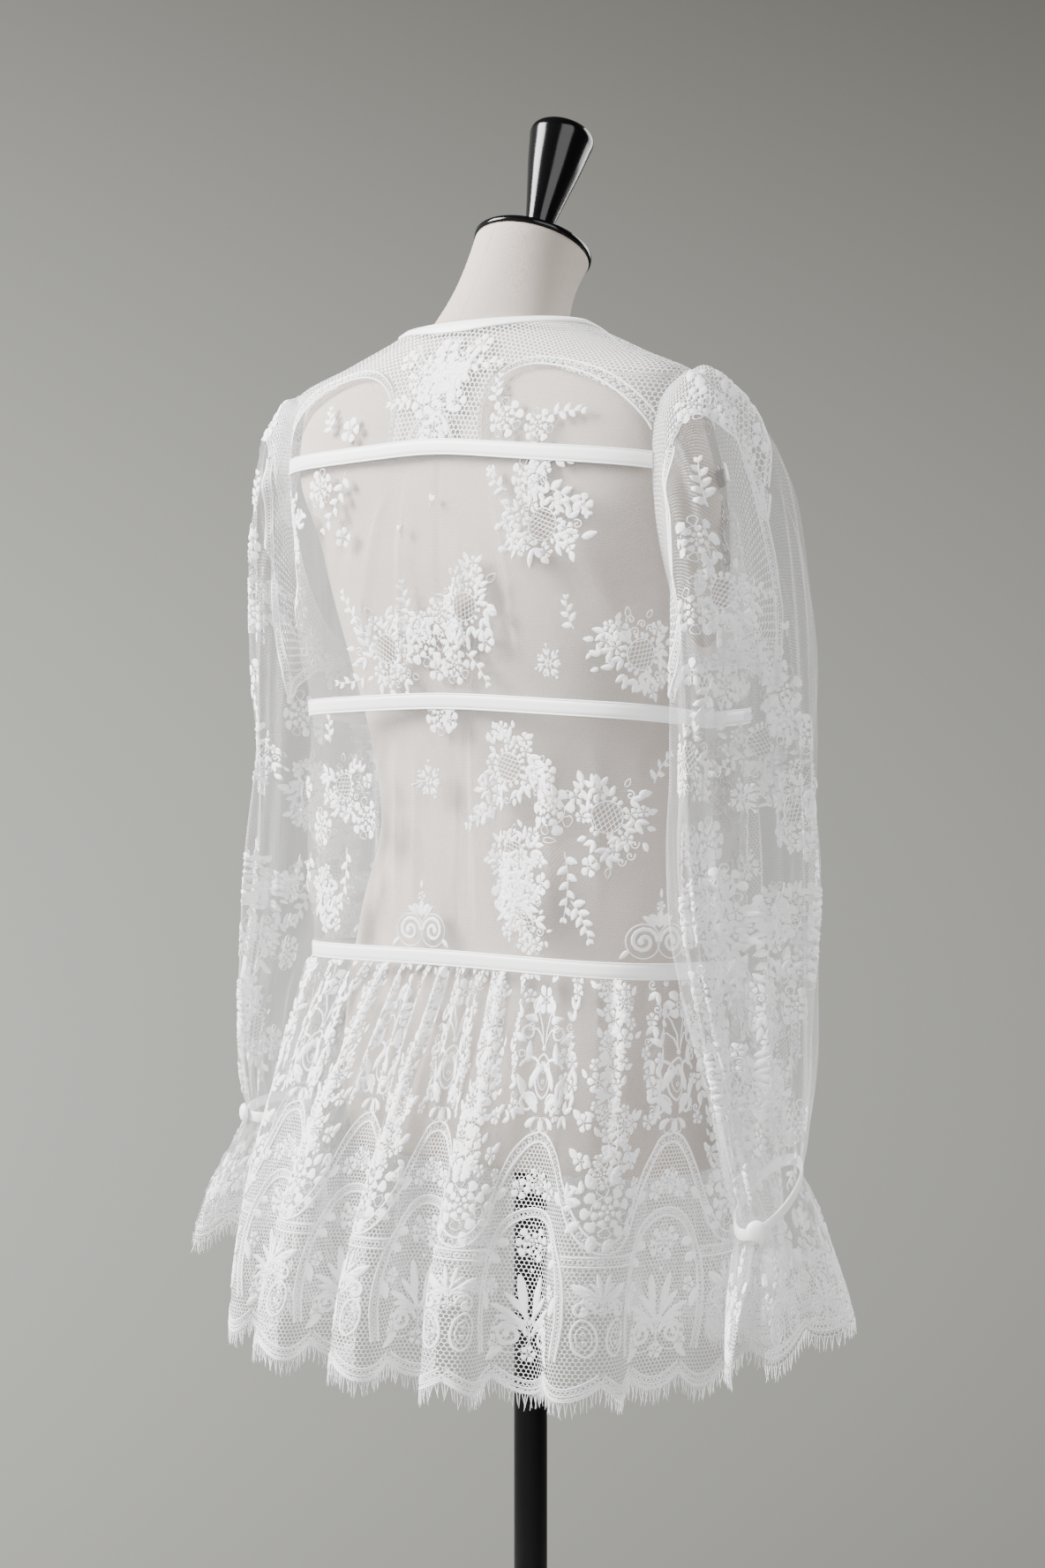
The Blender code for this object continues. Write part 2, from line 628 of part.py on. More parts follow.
def make_fringe(name, edge, ring):
    """A narrow strip just under a scalloped edge, with one thread hanging from each of its stretches."""
    mesh = bmesh.new()
    down = np.array([0.0, 0.0, -1.0])
    count = len(edge)
    stretches = count if ring else count - 1
    tops, bottoms = [], []
    for k in range(count):
        tops.append(mesh.verts.new(settled(edge[k] + down * SEAM_GAP)))
        bottoms.append(mesh.verts.new(settled(edge[k] + down * (SEAM_GAP + FRINGE_STRIP))))
    for k in range(stretches):
        after = (k + 1) % count
        way = edge[after] - edge[k]
        share = STRAND_WIDTH / np.linalg.norm(way)
        root = edge[k] + way * share
        inner_top = mesh.verts.new(settled(root + down * SEAM_GAP))
        inner_bottom = mesh.verts.new(settled(root + down * (SEAM_GAP + FRINGE_STRIP)))
        sway = 0.22 * math.sin(2.4 * k) + 0.12 * math.sin(5.1 * k + 1)
        length = FRINGE_LENGTH * (0.86 + 0.14 * math.sin(3.7 * k))
        aside = way / np.linalg.norm(way) * sway
        tip = edge[k] + way * share / 2 + (down + aside) * (SEAM_GAP + FRINGE_STRIP + length)
        end = mesh.verts.new(settled(tip))
        mesh.faces.new([tops[k], bottoms[k], inner_bottom, inner_top][::-1])
        mesh.faces.new([inner_top, inner_bottom, bottoms[after], tops[after]][::-1])
        mesh.faces.new([bottoms[k], end, inner_bottom][::-1])
    bmesh.ops.reverse_faces(mesh, faces=mesh.faces)
    data = bpy.data.meshes.new(name)
    mesh.to_mesh(data)
    mesh.free()
    return walled(name, data, LACE, FRINGE_WALL)


def hung(ring, hang):
    """A ring as one of the two sleeves wears it."""
    below_elbow = 1 - smoothstep(80.0, 100.0, ring.in_z)
    width = hang.width + (1 - hang.width) * below_elbow
    if ring.in_z > 111.5:
        width = 1 - (1 - hang.width) * 0.3
    rise = hang.lift / CM * below_elbow
    return ring._replace(
        in_z=ring.in_z + rise,
        out_x=ring.in_x + (ring.out_x - ring.in_x) * width,
        out_z=ring.out_z + rise,
        reach=ring.reach * (1 - (1 - width) / 2),
        droop=ring.droop * hang.droop,
    )


def ring_point(ring, angle):
    """A point of a sleeve ring: angle 0 is its outer line, a quarter turn is its back."""
    inner = np.array([ring.in_x, ring.in_y, ring.in_z]) * CM
    outer = np.array([ring.out_x, ring.out_y, ring.out_z]) * CM
    back = np.array([0.0, ring.reach, -ring.droop]) * CM
    return (inner + outer) / 2 + (outer - inner) / 2 * math.cos(angle) + back * math.sin(angle)


def sleeve_row(hang, row, angle):
    """A point of the sleeve. The first rows pass from the armhole's own shape to the table's rings."""
    ring = hung(SLEEVE[row], hang)
    centre = ring_point(ring, 0) / 2 + ring_point(ring, math.pi) / 2
    place = ring_point(ring, angle)
    away = (place - centre) / np.linalg.norm(place - centre)
    near_head = smoothstep(0, 2, row) * (1 - smoothstep(2, 5, row)) * max(0.0, math.cos(angle))
    folds = smoothstep(3, 6, row) * (1 - smoothstep(9, 11, row))
    near_wrist = smoothstep(8, 10, row)
    off_body = smoothstep(-1.0, -0.4, math.cos(angle))
    place = place + away * (
        SLEEVE_HEAD_PUFF * near_head * math.cos(9 * angle)
        + SLEEVE_FOLD_DEPTH * folds * off_body * math.sin(SLEEVE_FOLDS * angle + 0.35 * row)
        + WRIST_GATHER_DEPTH * near_wrist * (row < len(SLEEVE) - 1) * math.cos(WRIST_GATHERS * angle)
    )
    if row >= SLEEVE_ARM_ROWS:
        return place
    share = smoothstep(-1, SLEEVE_ARM_ROWS, row)
    return armhole_edge(angle) * (1 - share) + place * share


def armhole_seam(angle):
    """The sleeve's own edge: just inside the armhole's edge and just outside the body."""
    place = armhole_edge(angle)
    heart = (armhole_edge(0) + armhole_edge(math.pi)) / 2
    inward = heart - place
    inward[0] = 0.0
    inward /= np.linalg.norm(inward)
    return place + inward * 0.0007 + np.array([0.0016, 0.0, 0.0])


def mirrored(points, side):
    return points * np.array([side, 1.0, 1.0])


def make_sleeve(name, hang):
    """A sleeve in two lengths of cloth, behind and in front, that meet along its outer and its inner line."""
    angles = [2 * math.pi * k / SLEEVE_COLUMNS for k in range(SLEEVE_COLUMNS)]
    rows = [[armhole_seam(angle) for angle in angles]]
    rows += [[sleeve_row(hang, row, angle) for angle in angles] for row in range(len(SLEEVE))]
    outer = mirrored(np.array(rows), hang.side)
    inner = lifted(outer, -LACE_WALL * hang.side, ring=True)
    for suffix, first in (("back", 0), ("front", ARMHOLE_STEPS)):
        columns = [(first + k) % SLEEVE_COLUMNS for k in range(ARMHOLE_STEPS + 1)]
        faces = [trimmed(grid[:, columns]) for grid in (outer, inner)]
        mesh = bmesh.new()
        fill_grid(mesh, faces[0], out_first=hang.side > 0)
        fill_grid(mesh, faces[1], out_first=hang.side < 0)
        rims = [edge for edge in mesh.edges if edge.is_boundary]
        bmesh.ops.bridge_loops(mesh, edges=rims)
        bmesh.ops.recalc_face_normals(mesh, faces=mesh.faces)
        data = bpy.data.meshes.new(f"{name}_{suffix}")
        mesh.to_mesh(data)
        mesh.free()
        thing = bpy.data.objects.new(f"{name}_{suffix}", data)
        PARTS.objects.link(thing)
        data.materials.append(material(*LACE))
        data.shade_smooth()


def make_cuff_band(name, hang):
    """The wrist's narrow band. Its ends meet at the slit."""
    wrist = hung(SLEEVE[-1], hang)
    rows = []
    for fall in (2 * SEAM_GAP, CUFF_BAND_HEIGHT - 2 * SEAM_GAP):
        row = []
        for k in range(CUFF_COLUMNS + 1):
            span = 2 * math.pi - 2 * CUFF_SLIT_HALF
            angle = CUFF_SLIT_TURN + CUFF_SLIT_HALF + span * k / CUFF_COLUMNS
            row.append(ring_point(wrist, angle) + np.array([0.0, 0.0, -fall]))
        rows.append(row)
    points = mirrored(np.array(rows), hang.side)
    cloth(name, points, TAPE, LACE_WALL, out_first=hang.side > 0)


def cuff_ring(row, hang):
    """The ruffle hangs from the wrist's own ring, just under the band, and then follows the table."""
    if row:
        return hung(CUFF[row - 1], hang)
    wrist = hung(SLEEVE[-1], hang)
    fall = CUFF_BAND_HEIGHT / CM
    return wrist._replace(in_z=wrist.in_z - fall, out_z=wrist.out_z - fall)


def cuff_point(hang, row, share):
    """The cuff's ruffle, open at the slit. Share runs from one side of the slit round to the other."""
    fall = row / len(CUFF)
    slit = CUFF_SLIT_HALF + CUFF_SLIT_SPREAD * fall
    angle = CUFF_SLIT_TURN + slit + (2 * math.pi - 2 * slit) * share
    ring = cuff_ring(row, hang)
    place = ring_point(ring, angle)
    centre = (ring_point(ring, 0) + ring_point(ring, math.pi)) / 2
    away = (place - centre) / np.linalg.norm(place - centre)
    wave = CUFF_WAVE_DEPTH * fall**1.3 * math.cos(2 * math.pi * CUFF_WAVES * share)
    outer_only = 0.4 + 0.6 * smoothstep(-0.6, 0.3, math.cos(angle))
    corner = CUFF_CORNER_DROP * fall**2 * (1 - smoothstep(0.0, 0.10, min(share, 1 - share)))
    hem = hem_height(share, CUFF_SCALLOPS, 0.008) if row == len(CUFF) else 0.0
    return place + away * wave * outer_only + np.array([0.0, 0.0, hem - corner])


def make_cuff_ruffle(name, fringe_name, hang):
    shares = [k / CUFF_COLUMNS for k in range(CUFF_COLUMNS + 1)]
    rows = [[cuff_point(hang, row, share) for share in shares] for row in range(len(CUFF) + 1)]
    points = mirrored(np.array(rows), hang.side)
    holes = [(len(CUFF) - 1, k) for k in range(CUFF_COLUMNS) if k % COLUMNS_PER_SCALLOP == 1]
    cloth(name, points, LACE, LACE_WALL, out_first=hang.side > 0, eyelets=holes[::2])
    edge = points[-1] if hang.side > 0 else points[-1][::-1]
    make_fringe(fringe_name, edge[::-1], ring=False)


def make_cuff_button(name, hang):
    """A covered button: a shallow dome that closes the band over the slit."""
    wrist = hung(SLEEVE[-1], hang)
    place = ring_point(wrist, CUFF_SLIT_TURN)
    across = ring_point(wrist, CUFF_SLIT_TURN + 1e-3) - ring_point(wrist, CUFF_SLIT_TURN - 1e-3)
    away = np.cross(np.array([0.0, 0.0, 1.0]), across)
    away *= np.sign(away[0]) / np.linalg.norm(away)
    centre = place + np.array([0.0, 0.0, -CUFF_BAND_HEIGHT / 2 + BUTTON_RISE]) + away * BUTTON_LIFT
    profile = [
        (0.0, 1.0),
        (0.5, 0.95),
        (0.86, 0.74),
        (1.0, 0.42),
        (0.92, 0.18),
        (0.55, 0.0),
        (0.0, 0.0),
    ]
    points = [(r * BUTTON_RADIUS, h * BUTTON_HEIGHT) for r, h in profile]
    button = turned_piece(name, points, TAPE, sides=12)
    direction = Vector((away[0] * hang.side, away[1], away[2]))
    button.rotation_euler = direction.to_track_quat("Z", "Y").to_euler()
    button.location = settled(mirrored(centre, hang.side))


def turned_piece(name, profile, finish, sides):
    """A turned solid from (radius, height) points, listed from its top down."""
    data = bpy.data.meshes.new(name)
    edges = [(k, k + 1) for k in range(len(profile) - 1)]
    data.from_pydata([(radius, 0.0, height) for radius, height in profile], edges, [])
    thing = bpy.data.objects.new(name, data)
    PARTS.objects.link(thing)
    data.materials.append(material(finish[0], finish[1]))
    spin = thing.modifiers.new("Turn", "SCREW")
    spin.steps = spin.render_steps = sides
    spin.use_merge_vertices = True
    spin.merge_threshold = 0.00005
    spin.use_smooth_shade = True
    return thing


def make_label():
    """A bare woven label inside the back neck, between the lace and the form."""
    rows = []
    for up in (1.0, 0.0):
        row = []
        for k in range(5):
            across = (k / 4 - 0.5) * LABEL_WIDTH
            height = NECK_BACK_HEIGHT - LABEL_BELOW_NECK - (1 - up) * LABEL_HEIGHT
            turn = math.asin(across / 0.09)
            inside = LACE_WALL + LABEL_GAP
            row.append(body_point(turn, height) - outward(body_point, turn, height) * inside)
        rows.append(row)
    cloth("neck_label", np.array(rows[::-1]), ("label", LABEL_WHITE), LABEL_WALL)


def form_point(turn, height):
    """The dress form: its own sections below, and close under the cloth on the shoulders."""
    own = section_point(FORM, turn, min(height, FORM[-1].height * CM))
    if height < FORM_MEETS_CLOTH[0]:
        return own
    across_back = smoothstep(0.55, 0.9, math.cos(turn))
    gap = LACE_WALL + FORM_SHOULDER_GAP + (FORM_BACK_GAP - FORM_SHOULDER_GAP) * across_back
    under = body_point(turn, height) - outward(body_point, turn, height) * gap
    middle = column(BODY, "middle", height / CM) * CM
    slim = 1 - FORM_SHOULDER_SLIM * abs(math.sin(turn)) * (1 - smoothstep(1.345, 1.38, height))
    under = np.array([under[0] * slim, middle + (under[1] - middle) * slim, under[2]])
    own[2] = under[2]
    share = smoothstep(*FORM_MEETS_CLOTH, height)
    return own * (1 - share) + under * share


def neck_ring(turn, rise):
    """The neck narrows and leans forward from its base up to the plate."""
    base = body_point(turn, NECK_BASE_HEIGHT)
    base_centre = np.array([0.0, 0.030, NECK_BASE_HEIGHT])
    slim = base_centre + (base - base_centre) * np.array([0.66, 0.96, 1.0])
    rim = PLATE_RADIUS * 0.97
    top = plate_frame() @ Vector((rim * math.sin(turn), rim * math.cos(turn), 0))
    waist = 1 - 0.05 * math.sin(math.pi * rise)
    mixed = slim * (1 - rise) + np.array(top) * rise
    centre = base_centre * (1 - rise) + np.array(PLATE_CENTRE) * rise
    return centre + (mixed - centre) * waist


def plate_frame():
    """Where the neck plate lies: tilted forward, square to the neck."""
    tilt = Matrix.Rotation(NECK_TILT, 4, "X")
    return Matrix.Translation(PLATE_CENTRE) @ tilt


def make_form():
    """The linen-covered torso and neck, one closed smooth solid."""
    sides = 28
    heights = [FORM_BOTTOM + 0.006]
    heights += [0.80, 0.84, 0.88, 0.92, 0.96, 1.00, 1.04, 1.08, 1.12, 1.16, 1.20, 1.24, 1.27, 1.295]
    heights += [1.315, 1.330, 1.3415, 1.353, 1.365, 1.377]
    mesh = bmesh.new()
    turns = [2 * math.pi * k / sides for k in range(sides)]
    foot_centre = np.array([0.0, 0.0, FORM_BOTTOM])
    rows = [[foot_centre + (form_point(t, FORM_BOTTOM) - foot_centre) * 0.97 for t in turns]]
    rows += [[form_point(t, h) for t in turns] for h in heights]
    rows += [[neck_ring(t, rise) for t in turns] for rise in (0.12, 0.4, 0.7, 1.0)]
    grid = [[mesh.verts.new(settled(p)) for p in row] for row in rows]
    for lower, upper in zip(grid, grid[1:]):
        for k in range(sides):
            after = (k + 1) % sides
            mesh.faces.new([lower[k], upper[k], upper[after], lower[after]])
    mesh.faces.new(grid[0])
    mesh.faces.new(grid[-1][::-1])
    data = bpy.data.meshes.new("torso_form")
    mesh.to_mesh(data)
    mesh.free()
    thing = bpy.data.objects.new("torso_form", data)
    PARTS.objects.link(thing)
    data.materials.append(material("linen", LINEN))
    data.shade_smooth()


def make_neck_top():
    """The black plate on the neck and the turned finial on the plate, both square to the neck."""
    rim = 0.0012
    plate = [
        (0.0, PLATE_HEIGHT),
        (PLATE_RADIUS - rim, PLATE_HEIGHT),
        (PLATE_RADIUS, PLATE_HEIGHT - rim),
        (PLATE_RADIUS, rim),
        (PLATE_RADIUS - rim, 0.0),
        (0.0, 0.0),
    ]
    finial = [
        (0.0, 0.1030),
        (0.0175, 0.1024),
        (0.0234, 0.0995),
        (0.0253, 0.0948),
        (0.0242, 0.0876),
        (0.0177, 0.0530),
        (0.0109, 0.0190),
        (0.0100, 0.0145),
        (0.0163, 0.0126),
        (0.0192, 0.0078),
        (0.0183, 0.0030),
        (0.0153, 0.0),
        (0.0, 0.0),
    ]
    seat = plate_frame()
    lacquer = ("black_lacquer", BLACK_LACQUER)
    for name, profile, sides, lift in (
        ("neck_plate", plate, 28, SEAM_GAP * 2),
        ("finial", finial, 20, PLATE_HEIGHT + SEAM_GAP * 3),
    ):
        thing = turned_piece(name, profile, lacquer, sides)
        place = seat @ Matrix.Translation((0, 0, lift))
        place.translation.z = settled(place.translation).z
        thing.matrix_world = place


def make_stand():
    """The pole from the base up to the form, and a plain round base with a socket."""
    rim = 0.002
    base = [
        (0.0, BASE_HEIGHT + SOCKET_HEIGHT),
        (SOCKET_RADIUS - rim, BASE_HEIGHT + SOCKET_HEIGHT),
        (SOCKET_RADIUS, BASE_HEIGHT + SOCKET_HEIGHT - rim),
        (SOCKET_RADIUS, BASE_HEIGHT + rim),
        (SOCKET_RADIUS + rim, BASE_HEIGHT),
        (BASE_RADIUS - rim, BASE_HEIGHT),
        (BASE_RADIUS, BASE_HEIGHT - rim),
        (BASE_RADIUS, 0.0),
        (0.0, 0.0),
    ]
    turned_piece("base", base, ("black_steel", BLACK_STEEL), 40)
    foot = BASE_HEIGHT + SOCKET_HEIGHT + SEAM_GAP
    head = FORM_BOTTOM - SEAM_GAP
    pole = [(0.0, head), (POLE_RADIUS, head), (POLE_RADIUS, foot), (0.0, foot)]
    turned_piece("pole", pole, ("black_steel", BLACK_STEEL), 20)


clear_scene()
PARTS = collection_named("lace_blouse_on_dress_form")
make_form()
make_neck_top()
make_stand()
make_yoke()
make_upper_tier()
make_lower_tier()
make_tapes()
make_neck_binding()
make_label()
make_peplum()
for side_name, side_hang in HANGS.items():
    make_sleeve(f"sleeve_{side_name}", side_hang)
    make_cuff_band(f"cuff_band_{side_name}", side_hang)
    make_cuff_ruffle(f"cuff_ruffle_{side_name}", f"cuff_fringe_{side_name}", side_hang)
    make_cuff_button(f"cuff_button_{side_name}", side_hang)
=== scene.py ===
"""Lace blouse with taped tiers and a gathered peplum, worn by a limbless dress form.

Metres, +Z up. The wearer faces -Y, so the centre back is on +Y and the wearer's left side on +X.
Each surface of cloth is read at u and v: u grows to the right as seen from outside, and v grows upward.
"""

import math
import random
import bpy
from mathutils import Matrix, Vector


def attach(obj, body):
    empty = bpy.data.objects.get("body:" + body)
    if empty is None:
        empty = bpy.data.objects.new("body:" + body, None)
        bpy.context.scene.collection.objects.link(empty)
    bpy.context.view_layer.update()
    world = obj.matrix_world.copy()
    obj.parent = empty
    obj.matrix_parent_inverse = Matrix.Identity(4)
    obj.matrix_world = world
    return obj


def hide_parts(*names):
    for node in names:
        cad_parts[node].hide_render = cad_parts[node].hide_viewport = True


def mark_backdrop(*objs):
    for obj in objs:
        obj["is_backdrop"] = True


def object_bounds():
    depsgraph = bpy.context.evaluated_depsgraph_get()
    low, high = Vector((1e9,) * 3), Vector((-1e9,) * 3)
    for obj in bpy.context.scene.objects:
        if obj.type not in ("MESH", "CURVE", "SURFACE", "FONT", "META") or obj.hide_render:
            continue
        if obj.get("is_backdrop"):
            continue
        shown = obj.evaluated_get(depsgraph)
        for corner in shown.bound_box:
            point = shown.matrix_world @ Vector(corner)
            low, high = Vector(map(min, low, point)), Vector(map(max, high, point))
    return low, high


bl_info = {
    "name": "Lace Blouse on Dress Form",
    "version": (1, 0, 0),
    "blender": (4, 5, 0),
    "location": "3D View > Sidebar > Blouse",
    "description": "Builds a long-sleeved lace blouse, its dress form and a plain studio",
    "category": "Add Mesh",
}

from collections import namedtuple

import bpy
import numpy as np
from mathutils import Matrix, Vector

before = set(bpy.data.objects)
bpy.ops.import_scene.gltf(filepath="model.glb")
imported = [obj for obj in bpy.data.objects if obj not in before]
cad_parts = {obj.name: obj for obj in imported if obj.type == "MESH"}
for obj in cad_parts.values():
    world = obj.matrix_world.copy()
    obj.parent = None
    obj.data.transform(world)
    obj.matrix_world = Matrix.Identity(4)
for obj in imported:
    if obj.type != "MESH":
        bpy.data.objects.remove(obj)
CAD_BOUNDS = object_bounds()

CM = 0.01
MM = 0.001

# Seams, in metres above the floor
UPPER_SEAM_BACK = 1.293
UPPER_SEAM_FRONT = 1.278
MIDDLE_SEAM = 1.107
MIDDLE_SEAM_SAG = 0.011
LOWER_SEAM = 0.918
LOWER_SEAM_SAG = 0.004
TAPE_WIDTH = 0.012
BINDING_WIDTH = 0.009
SHOULDER_RISE = 0.40
CHEST_RISE = 0.75
NECK_BEND = 2.6
UNDERARM_ROW = 1.130

# Horizontal sections, in centimetres, as in the CAD model
Section = namedtuple("Section", "height half_width back front middle back_square front_square")


def sections(*rows):
    return [Section(*row) for row in rows]


BODY = sections(
    (90.0, 17.4, 9.7, -10.6, 0.0, 4.3, 2.7), (102.0, 17.3, 9.7, -11.2, 0.3, 4.3, 2.7),
    (110.5, 17.3, 10.1, -12.2, 1.0, 4.3, 2.7), (115.0, 17.5, 10.6, -12.6, 1.6, 4.1, 2.6),
    (122.0, 18.2, 11.2, -11.0, 2.8, 3.7, 2.5), (129.0, 18.9, 11.1, -6.8, 4.4, 3.0, 2.4),
    (134.2, 18.8, 10.3, -3.4, 5.2, 2.3, 2.2), (136.5, 13.6, 9.6, -2.2, 4.7, 2.1, 2.1),
    (138.8, 8.2, 8.6, -0.9, 4.0, 2.0, 2.0), (140.0, 6.4, 8.2, -0.2, 3.9, 2.0, 2.0),
)
PEPLUM = sections(
    (62.0, 19.8, 19.3, -10.8, 4.0, 2.6, 2.6), (68.0, 19.9, 18.3, -11.4, 3.6, 2.65, 2.6),
    (74.0, 19.8, 16.8, -12.2, 2.8, 2.8, 2.6), (82.0, 19.1, 14.2, -12.4, 1.5, 3.1, 2.6),
    (88.0, 18.1, 11.5, -11.6, 0.5, 3.8, 2.7), (91.8, 17.4, 9.7, -10.6, 0.0, 4.3, 2.7),
)
FORM = sections(
    (76.5, 16.0, 8.8, -8.8, 0.0, 2.3, 2.3), (81.5, 16.7, 9.9, -9.6, 0.0, 2.3, 2.3),
    (88.0, 16.5, 9.2, -9.7, 0.0, 2.3, 2.3), (94.0, 15.4, 8.5, -9.2, 0.0, 2.3, 2.3),
    (102.0, 12.9, 8.4, -8.6, 0.3, 2.2, 2.2), (108.0, 13.4, 9.0, -9.6, 0.9, 2.3, 2.3),
    (114.0, 14.8, 9.8, -11.7, 1.4, 2.5, 2.4), (118.0, 15.7, 10.2, -11.9, 2.0, 2.7, 2.4),
    (122.0, 16.3, 10.6, -10.4, 2.8, 2.9, 2.4), (129.0, 17.6, 10.6, -6.3, 4.4, 2.8, 2.4),
)
FORM_BOTTOM = 0.765
FORM_MEETS_CLOTH = (1.215, 1.285)
FORM_SHOULDER_GAP = 0.0038
FORM_BACK_GAP = 0.0056
FORM_SHOULDER_SLIM = 0.0215
NECK_BASE_HEIGHT = 1.386
NECK_BACK_HEIGHT = 1.388
NECK_FRONT_HEIGHT = 1.304
NECK_TILT = math.radians(21)
PLATE_CENTRE = np.array([0.0, -0.0015, 1.453])
PLATE_RADIUS = 0.046
PLATE_HEIGHT = 0.005
SEAM_GAP = 0.0003

ARMHOLE_MIDDLE = 1.246
ARMHOLE_HALF_HEIGHT = 0.096
ARMHOLE_HALF_WIDTH = 0.043
ARMHOLE_LEAN = 0.036
ARMHOLE_STEPS = 8
UPPER_SEAM_STEP = 3

# Sleeve rings between an inner and an outer line, for the wearer's left sleeve, in centimetres
Ring = namedtuple("Ring", "row in_x in_y in_z out_x out_y out_z reach droop")


def rings(*rows):
    return [Ring(row, *sizes) for row, sizes in enumerate(rows)]


SLEEVE = rings(
    (18.5, 1.8, 114.8, 19.4, 5.1, 134.6, 4.6, 0.0), (18.6, 1.8, 113.9, 20.6, 4.7, 134.9, 5.3, 0.0),
    (18.4, 1.8, 112.0, 22.2, 4.0, 133.0, 6.0, 0.0), (18.2, 1.6, 109.2, 23.4, 3.1, 128.4, 6.7, 0.0),
    (18.1, 1.5, 106.2, 23.9, 2.3, 121.8, 7.1, 0.0), (18.1, 1.4, 102.8, 24.2, 1.9, 114.2, 7.3, 0.0),
    (18.1, 1.4, 98.8, 24.3, 1.7, 106.0, 7.4, 0.1), (18.5, 1.6, 94.6, 24.6, 1.8, 98.4, 7.2, 0.2),
    (19.4, 2.0, 90.2, 25.1, 2.3, 91.8, 6.3, 0.5), (20.7, 2.5, 85.4, 25.8, 2.8, 86.0, 5.2, 1.0),
    (21.6, 2.9, 80.6, 26.2, 3.1, 81.0, 4.2, 1.7), (22.1, 3.0, 76.4, 26.3, 3.2, 76.8, 2.9, 2.3),
)
CUFF = rings(
    (22.1, 3.0, 75.6, 26.3, 3.2, 76.0, 2.9, 2.3), (22.4, 3.0, 73.2, 27.2, 3.3, 73.6, 4.1, 2.0),
    (22.7, 3.1, 71.0, 27.9, 3.4, 71.4, 5.3, 1.2), (22.9, 3.2, 69.0, 28.4, 3.4, 69.4, 6.1, 0.5),
    (23.0, 3.2, 67.4, 28.7, 3.4, 67.7, 6.6, 0.2),
)
Hang = namedtuple("Hang", "side width droop lift")
HANGS = {"left": Hang(1, 0.86, 0.25, 0.018), "right": Hang(-1, 1.0, 1.0, 0.0)}
SLEEVE_ARM_ROWS = 3
SLEEVE_HEAD_PUFF = 0.004
WRIST_GATHERS = 17
WRIST_GATHER_DEPTH = 0.0024
CUFF_BAND_HEIGHT = 0.008
CUFF_SLIT_TURN = math.radians(65)
CUFF_SLIT_HALF = math.radians(5)
CUFF_SLIT_SPREAD = math.radians(11)
CUFF_SCALLOPS = 8
CUFF_SCALLOP_DEPTH = 0.008
CUFF_WAVES = 4
CUFF_WAVE_DEPTH = 0.008
CUFF_CORNER_DROP = 0.014

# The peplum's flutes and scalloped hem
FLUTES = 12
SCALLOPS = 36
HEM_HEIGHT = 0.638
SCALLOP_DEPTH = 0.010
FLUTE_DEPTH = 0.019
FLUTE_OVERHANG = 0.007

# The wearer's right shoulder hangs lower than the left
Lean = namedtuple("Lean", "height slope")
LEANS = [Lean(0.92, 0.012), Lean(1.10, 0.026), Lean(1.28, 0.062), Lean(1.355, 0.042), Lean(1.42, 0.0)]


def smoothstep(low, high, value):
    share = np.clip((np.asarray(value, float) - low) / (high - low), 0.0, 1.0)
    return share * share * (3 - 2 * share)


def column(table, heading, at, key="height"):
    """A table's column read at any key: a cubic through the rows that never overshoots them."""
    keys = np.array([getattr(row, key) for row in table], float)
    values = np.array([getattr(row, heading) for row in table], float)
    slopes = np.diff(values) / np.diff(keys)
    before, after = slopes[:-1], slopes[1:]
    same_way = before * after > 0
    middle = np.where(same_way, 2 * before * after / np.where(same_way, before + after, 1.0), 0.0)
    tangents = np.concatenate([slopes[:1], middle, slopes[-1:]])
    at = np.clip(at, keys[0], keys[-1])
    i = np.clip(np.searchsorted(keys, at, "right") - 1, 0, len(keys) - 2)
    step = keys[i + 1] - keys[i]
    t = (at - keys[i]) / step
    return (
        (1 + 2 * t) * (1 - t) ** 2 * values[i]
        + t * (1 - t) ** 2 * step * tangents[i]
        + t * t * (3 - 2 * t) * values[i + 1]
        + t * t * (t - 1) * step * tangents[i + 1]
    )


def section_shape(table, z, behind):
    """A section's half width, middle, depth and roundness, on its back half or its front half."""
    middle = column(table, "middle", z)
    depth = np.abs(np.where(behind, column(table, "back", z), column(table, "front", z)) - middle)
    square = np.where(behind, column(table, "back_square", z), column(table, "front_square", z))
    return column(table, "half_width", z), middle, depth, square


def section_point(table, turn, height):
    """Points of horizontal sections. Turn 0 is the centre back, a quarter turn is the left side."""
    z = height / CM
    sine, cosine = np.sin(turn), np.cos(turn)
    half_width, middle, depth, square = section_shape(table, z, cosine >= 0)
    spread = (np.abs(sine) / half_width) ** square + (np.abs(cosine) / depth) ** square
    radius = spread ** (-1 / square)
    return np.stack([radius * sine, middle + radius * cosine, z + 0 * radius], axis=-1) * CM


def settled(points):
    """The blouse and the form lean a little: the wearer's right shoulder hangs lower than the left."""
    shifted = np.array(points, float)
    shifted[..., 2] += column(LEANS, "slope", shifted[..., 2]) * shifted[..., 0]
    return shifted


def unit(vectors):
    return vectors / np.maximum(np.linalg.norm(vectors, axis=-1, keepdims=True), 1e-12)


# A crease runs from one u and v to another, its width and depth in metres. A negative depth is a trough.
Crease = namedtuple("Crease", "u0 v0 u1 v1 width depth")


def creases(*rows):
    """Creases from rows of u0, v0, u1, v1, width and depth, all but the two u in millimetres."""
    scales = (1, MM, 1, MM, MM, MM)
    return [Crease(*(size * scale for size, scale in zip(row, scales))) for row in rows]


